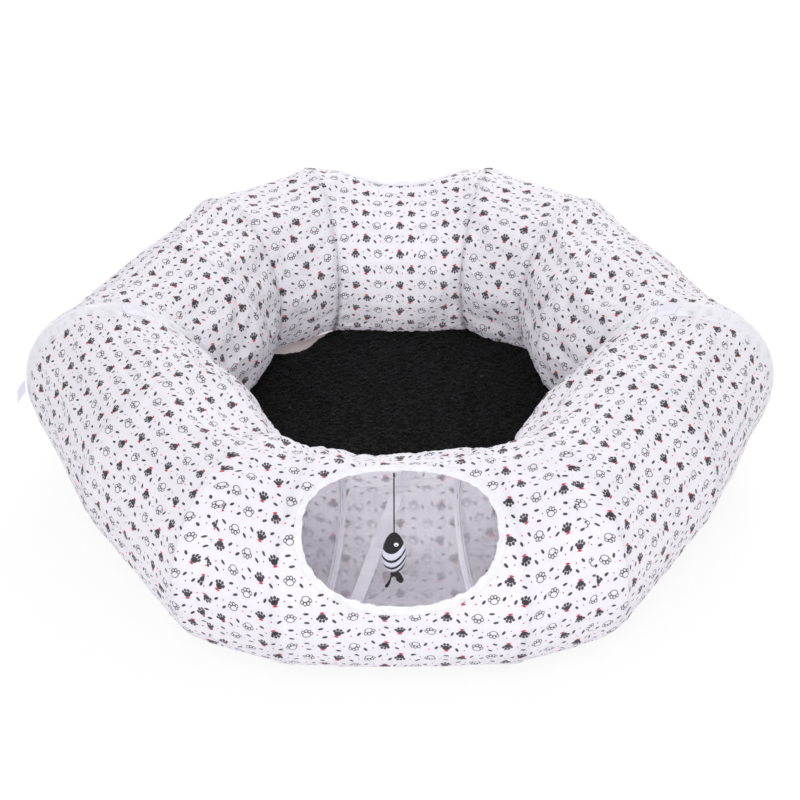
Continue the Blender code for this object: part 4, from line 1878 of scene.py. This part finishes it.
def backing_finish(settings):
    # the backing colour is painted shade and reflected pink on a white cloth; the mottling over it is random
    # tone
    colour = tuple(settings.backing_colour_painted_shade)
    finish = Finish("mat_backing_weave", colour, 0.85)
    place = finish.object_place()
    mottle = finish.grain(place, 70.0, 3.0)
    dull = tuple(part * 0.92 for part in colour)
    finish.set("Base Color", finish.mix(mottle, dull, colour))
    finish.bump(finish.grain(place, 700.0, 3.0), 0.0003, 0.4)
    return finish.material


def felt_finish(settings):
    colour = tuple(settings.felt_colour)
    finish = Finish("black_felt", colour, 0.9)
    place = finish.object_place()
    fibre = finish.grain(place, 1500.0, 4.0, 0.65)
    lighter = tuple(part * 2.0 + 0.003 for part in colour)
    finish.set("Base Color", finish.mix(fibre, colour, lighter))
    finish.bump(fibre, 0.0003, 0.6)
    finish.set("Sheen Weight", 0.2)
    return finish.material


def string_finish(settings):
    """Twisted black string: slanting strands along it."""
    colour = tuple(settings.felt_colour)
    finish = Finish("twisted_string", colour, 0.75)
    place = finish.object_place()
    x, y, z = finish.parts(place)
    lay = finish.join(finish.number("ADD", finish.number("MULTIPLY", x, 0.8), z), y, 0.0)
    strand = finish.bands(lay, 260.0, "X")
    lighter = tuple(part * 1.9 for part in colour)
    finish.set("Base Color", finish.mix(strand, colour, lighter))
    finish.bump(strand, 0.0002, 0.6)
    return finish.material


def fish_finish(settings):
    """Felt in slanting bands: a black head, pale stripes and a black root."""
    stripe = tuple(settings.stripe_colour)
    felt = tuple(settings.felt_colour)
    finish = Finish("fish_striped_felt", stripe, 0.82)
    place = finish.object_place()
    x, y, z = finish.parts(place)
    top = string_top - settings.string_length - 0.0003
    level = finish.number("MULTIPLY", finish.number("SUBTRACT", top, z), 1 / fish_length)
    across = finish.number("MULTIPLY", finish.number("SUBTRACT", x, toy_x - 0.0038), 1 / 0.0125)
    bend = finish.number("MULTIPLY", finish.number("MULTIPLY", across, across), 0.166)
    band = finish.number("ADD", level, bend)
    fray = finish.grain(place, 700.0, 2.0)
    band = finish.number("ADD", band, finish.number("MULTIPLY_ADD", fray, 0.02, -0.01))
    edge = 0.006
    pale = finish.step(band, 0.440 - edge, 0.440 + edge)
    for low, high in ((0.595, 0.662), (0.780, 0.848), (0.926, 2.0)):
        rise = finish.step(band, low - edge, low + edge)
        fall = finish.step(band, high - edge, high + edge)
        gap = finish.number("SUBTRACT", rise, fall)
        pale = finish.number("SUBTRACT", pale, gap)
    fibre = finish.grain(place, 1400.0, 4.0, 0.65)
    light = finish.mix(fibre, tuple(part * 0.86 for part in stripe), stripe)
    dark = finish.mix(fibre, felt, tuple(part * 2.0 + 0.003 for part in felt))
    finish.set("Base Color", finish.mix(pale, dark, light))
    finish.bump(fibre, 0.0003, 0.5)
    finish.set("Sheen Weight", 0.2)
    return finish.material


def eye_finish(settings):
    """A pale eye with a grey middle."""
    finish = Finish("fish_eye_white", screen_colour(240, 240, 242), 0.5)
    place = finish.object_place()
    x, y, z = finish.parts(place)
    middle = string_top - settings.string_length - 0.0003 - fish_length * 0.22
    shifted = finish.number("SUBTRACT", x, toy_x + eye_shift)
    flat = finish.join(shifted, finish.number("SUBTRACT", z, middle))
    away = finish.vector("LENGTH", flat)
    grey = finish.step(away, 0.00100, 0.00075)
    finish.set(
        "Base Color",
        finish.mix(grey, screen_colour(240, 240, 242), screen_colour(120, 118, 124)),
    )
    finish.bump(finish.grain(place, 1500.0, 2.0), 0.0001, 0.3)
    return finish.material


def stage_finish():
    """A white floor that shows the object's shadow softly."""
    material = bpy.data.materials.new("pale_floor")
    material.use_nodes = True
    tree = material.node_tree
    shader = tree.nodes["Principled BSDF"]
    shader.inputs["Base Color"].default_value = (0.9, 0.9, 0.9, 1.0)
    shader.inputs["Roughness"].default_value = 0.9
    glow = tree.nodes.new("ShaderNodeEmission")
    glow.inputs["Color"].default_value = (1.0, 1.0, 1.0, 1.0)
    path = tree.nodes.new("ShaderNodeLightPath")
    share = tree.nodes.new("ShaderNodeMath")
    share.operation = "MULTIPLY"
    share.inputs[1].default_value = 0.82
    tree.links.new(path.outputs["Is Camera Ray"], share.inputs[0])
    mix = tree.nodes.new("ShaderNodeMixShader")
    tree.links.new(share.outputs[0], mix.inputs[0])
    tree.links.new(shader.outputs[0], mix.inputs[1])
    tree.links.new(glow.outputs[0], mix.inputs[2])
    tree.links.new(mix.outputs[0], tree.nodes["Material Output"].inputs["Surface"])
    return material


# Stage

def area_lamp(name, place, look_at, size, power):
    light = bpy.data.lights.new(name, "AREA")
    light.shape = "SQUARE"
    light.size = size
    light.energy = power
    lamp = bpy.data.objects.new(name, light)
    bpy.context.scene.collection.objects.link(lamp)
    lamp.location = place
    direction = Vector(look_at) - Vector(place)
    lamp.rotation_euler = direction.to_track_quat("-Z", "Y").to_euler()


def build_stage(settings):
    scene = bpy.context.scene
    scene.view_settings.view_transform = "Standard"
    mesh = bpy.data.meshes.new("floor")
    build = bmesh.new()
    bmesh.ops.create_grid(build, x_segments=2, y_segments=2, size=6.0)
    build.to_mesh(mesh)
    build.free()
    floor_object = add_object("floor", mesh, stage_finish())

    world = bpy.data.worlds.new("plain_light")
    scene.world = world
    world.use_nodes = True
    tree = world.node_tree
    back = tree.nodes["Background"]
    back.inputs["Color"].default_value = (1.0, 1.0, 1.0, 1.0)
    path = tree.nodes.new("ShaderNodeLightPath")
    strength = tree.nodes.new("ShaderNodeMapRange")
    tree.links.new(path.outputs["Is Camera Ray"], strength.inputs["Value"])
    strength.inputs["To Min"].default_value = 0.76
    strength.inputs["To Max"].default_value = 1.0
    tree.links.new(strength.outputs[0], back.inputs["Strength"])

    area_lamp("key_lamp", (-0.5, -2.6, 2.2), (0, 0, 0.1), 2.2, 56)
    area_lamp("fill_lamp", (1.9, -1.2, 1.4), (0, 0, 0.1), 1.8, 9)
    area_lamp("back_lamp", (0.3, 2.8, 1.5), (0, 0, 0.1), 2.2, 54)

    camera_data = bpy.data.cameras.new("camera")
    camera_data.sensor_width = 36.0
    camera_data.lens = settings.lens
    camera_data.shift_y = (373 - 400) / 800
    camera = bpy.data.objects.new("camera", camera_data)
    scene.collection.objects.link(camera)
    aim = Vector((0, 0, 0.126))
    away = Vector((0, -cos(settings.elevation), sin(settings.elevation)))
    camera.location = aim + away * settings.distance
    camera.rotation_euler = (-away).to_track_quat("-Z", "Y").to_euler()
    camera_data.clip_end = 50
    scene.camera = camera


# Operators: one for each piece or group of like pieces, and one for the stage

built = {}


def finish_named(name, make):
    if name not in built:
        built[name] = make()
    return built[name]


def binding_finish():
    settings = bpy.context.scene.tunnel_trim
    colour = tuple(settings.binding_colour)
    cloth = bpy.context.scene.tunnel_cloth
    return finish_named(
        "binding",
        lambda: reverse_cloth_finish("white_binding", cloth, colour, 0.13, 0.40),
    )


def tape_finish():
    colour = screen_colour(247, 245, 253)
    cloth = bpy.context.scene.tunnel_cloth
    return finish_named(
        "tape",
        lambda: reverse_cloth_finish("inner_tape", cloth, colour, 0.0, 0.16),
    )


def hook_finish():
    colour = screen_colour(218, 216, 226)
    return finish_named("hook", lambda: white_tape_finish("hook_and_loop", colour, 240.0, 0.08))


def cloth_finishes():
    settings = bpy.context.scene.tunnel_cloth
    outside = finish_named("outside", lambda: printed_cloth_finish(settings))
    colour = tuple(settings.reverse_colour)
    inside = finish_named(
        "inside",
        lambda: reverse_cloth_finish("printed_cloth_reverse", settings, colour, 0.04, 0.62),
    )
    return outside, inside


def make_cloth(half):
    settings = bpy.context.scene.tunnel_cloth
    tube, skin = cloth_tube(half, settings)
    settle_cloth(half, tube, settings)
    fold_cloth(half, tube, settings, 0.62)
    build = edit(tube)
    built[f"{half.side}_folded"] = BVHTree.FromBMesh(build)
    build.free()
    built[f"{half.side}_skin"] = skin
    pieces = split_cloth(half, tube, settings, *cloth_finishes())
    bpy.data.objects.remove(tube, do_unlink=True)
    if not pieces:
        raise RuntimeError(f"the {half.side} half has no cloth")


class TUNNEL_OT_front_cloth(bpy.types.Operator):
    """Make the front half's printed cloth"""

    bl_idname = "cat_tunnel.front_cloth"
    bl_label = "Front Cloth"

    def execute(self, context):
        make_cloth(front_half)
        return {"FINISHED"}


class TUNNEL_OT_back_cloth(bpy.types.Operator):
    """Make the back half's printed cloth"""

    bl_idname = "cat_tunnel.back_cloth"
    bl_label = "Back Cloth"

    def execute(self, context):
        make_cloth(back_half)
        return {"FINISHED"}


class TUNNEL_OT_bindings(bpy.types.Operator):
    """Make the white bindings of both entrances"""

    bl_idname = "cat_tunnel.bindings"
    bl_label = "Entrance Bindings"

    def execute(self, context):
        settings = context.scene.tunnel_trim
        for half in (front_half, back_half):
            entrance_bindings(half, built[f"{half.side}_skin"], settings, binding_finish())
        return {"FINISHED"}


class TUNNEL_OT_hems(bpy.types.Operator):
    """Make the hem bands and white edges at the joints"""

    bl_idname = "cat_tunnel.hems"
    bl_label = "Hems"

    def execute(self, context):
        settings = context.scene.tunnel_trim
        cloth = context.scene.tunnel_cloth
        white = tuple(settings.binding_colour)
        reversed_hem = reverse_cloth_finish("printed_cloth_hem", cloth, white, 0.17, 0.40)
        for right in (True, False):
            end_pieces(front_half, right, 0.027, settings, reversed_hem)
            end_pieces(back_half, right, hem_width, settings, cloth_finishes()[0])
        return {"FINISHED"}


class TUNNEL_OT_hoops(bpy.types.Operator):
    """Finish the spring hoops and make the casings sewn over them"""

    bl_idname = "cat_tunnel.hoops"
    bl_label = "Hoops and Casings"

    def execute(self, context):
        steel = finish_named("wire", wire_finish)
        for name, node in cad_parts.items():
            if "_hoop_" in name:
                node.data.materials.clear()
                node.data.materials.append(steel)
        for half in (front_half, back_half):
            for number in range(2, 8):
                casing_band(half, number, built[f"{half.side}_folded"], tape_finish())
        return {"FINISHED"}


class TUNNEL_OT_joints(bpy.types.Operator):
    """Make the joining tapes and the storage strap"""

    bl_idname = "cat_tunnel.joints"
    bl_label = "Joints"

    def execute(self, context):
        for side, sign in (("left", -1), ("right", 1)):
            joint_tape_pair(side, sign, hook_finish())
            joint_patch(side, sign, hook_finish())
        ribbon = screen_colour(216, 213, 230)
        strap_tab(white_tape_finish("strap_ribbon", ribbon, 420.0))
        return {"FINISHED"}


class TUNNEL_OT_inner_trim(bpy.types.Operator):
    """Make the slanting seam tape and the blank label inside the front half"""

    bl_idname = "cat_tunnel.inner_trim"
    bl_label = "Inner Trim"

    def execute(self, context):
        cloth = built["front_folded"]
        seam_tape(cloth, tape_finish())
        white = screen_colour(252, 251, 254)
        blank_label(cloth, white_tape_finish("label_satin", white, 500.0, 0.02))
        return {"FINISHED"}


class TUNNEL_OT_mat(bpy.types.Operator):
    """Make the plush mat"""

    bl_idname = "cat_tunnel.mat"
    bl_label = "Mat"

    def execute(self, context):
        settings = context.scene.tunnel_mat
        plush_cover(settings, plush_finish(settings))
        backing_cloth(settings, backing_finish(settings))
        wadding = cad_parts["mat_wadding"]
        wadding.data.materials.clear()
        wadding.data.materials.append(wadding_finish())
        return {"FINISHED"}


class TUNNEL_OT_toy(bpy.types.Operator):
    """Make the hanging fish with its string and knot"""

    bl_idname = "cat_tunnel.toy"
    bl_label = "Fish Toy"

    def execute(self, context):
        settings = context.scene.tunnel_toy
        string = string_finish(settings)
        toy_cord(settings, string)
        toy_knot_piece(string)
        fish_pieces(
            settings, fish_finish(settings), felt_finish(settings), eye_finish(settings)
        )
        return {"FINISHED"}


class TUNNEL_OT_stage(bpy.types.Operator):
    """Make the floor, the lamps and the camera"""

    bl_idname = "cat_tunnel.stage"
    bl_label = "Stage"

    def execute(self, context):
        build_stage(context.scene.tunnel_stage)
        return {"FINISHED"}


class TUNNEL_PT_pieces(bpy.types.Panel):
    """The tunnel's pieces and their settings"""

    bl_label = "Donut Cat Tunnel"
    bl_idname = "TUNNEL_PT_pieces"
    bl_space_type = "VIEW_3D"
    bl_region_type = "UI"
    bl_category = "Cat Tunnel"

    def draw(self, context):
        layout = self.layout
        for operator in operators:
            layout.operator(operator.bl_idname)
        for name, group in settings_groups:
            box = layout.box()
            box.label(text=group.__doc__)
            held = getattr(context.scene, name)
            for key in group.__annotations__:
                box.prop(held, key)


settings_groups = (
    ("tunnel_cloth", ClothSettings),
    ("tunnel_trim", TrimSettings),
    ("tunnel_mat", MatSettings),
    ("tunnel_toy", ToySettings),
    ("tunnel_stage", StageSettings),
)
operators = (
    TUNNEL_OT_stage,
    TUNNEL_OT_toy,
    TUNNEL_OT_front_cloth,
    TUNNEL_OT_back_cloth,
    TUNNEL_OT_bindings,
    TUNNEL_OT_hems,
    TUNNEL_OT_hoops,
    TUNNEL_OT_joints,
    TUNNEL_OT_inner_trim,
    TUNNEL_OT_mat,
)


def register():
    for name, group in settings_groups:
        bpy.utils.register_class(group)
        setattr(bpy.types.Scene, name, bpy.props.PointerProperty(type=group))
    for each in (*operators, TUNNEL_PT_pieces):
        bpy.utils.register_class(each)


def unregister():
    for each in reversed((*operators, TUNNEL_PT_pieces)):
        bpy.utils.unregister_class(each)
    for name, group in reversed(settings_groups):
        delattr(bpy.types.Scene, name)
        bpy.utils.unregister_class(group)


def main():
    register()
    bpy.ops.cat_tunnel.stage()
    bpy.ops.cat_tunnel.toy()
    bpy.ops.cat_tunnel.front_cloth()
    bpy.ops.cat_tunnel.back_cloth()
    bpy.ops.cat_tunnel.bindings()
    bpy.ops.cat_tunnel.hems()
    bpy.ops.cat_tunnel.hoops()
    bpy.ops.cat_tunnel.joints()
    bpy.ops.cat_tunnel.inner_trim()
    bpy.ops.cat_tunnel.mat()


if __name__ == "__main__":
    main()
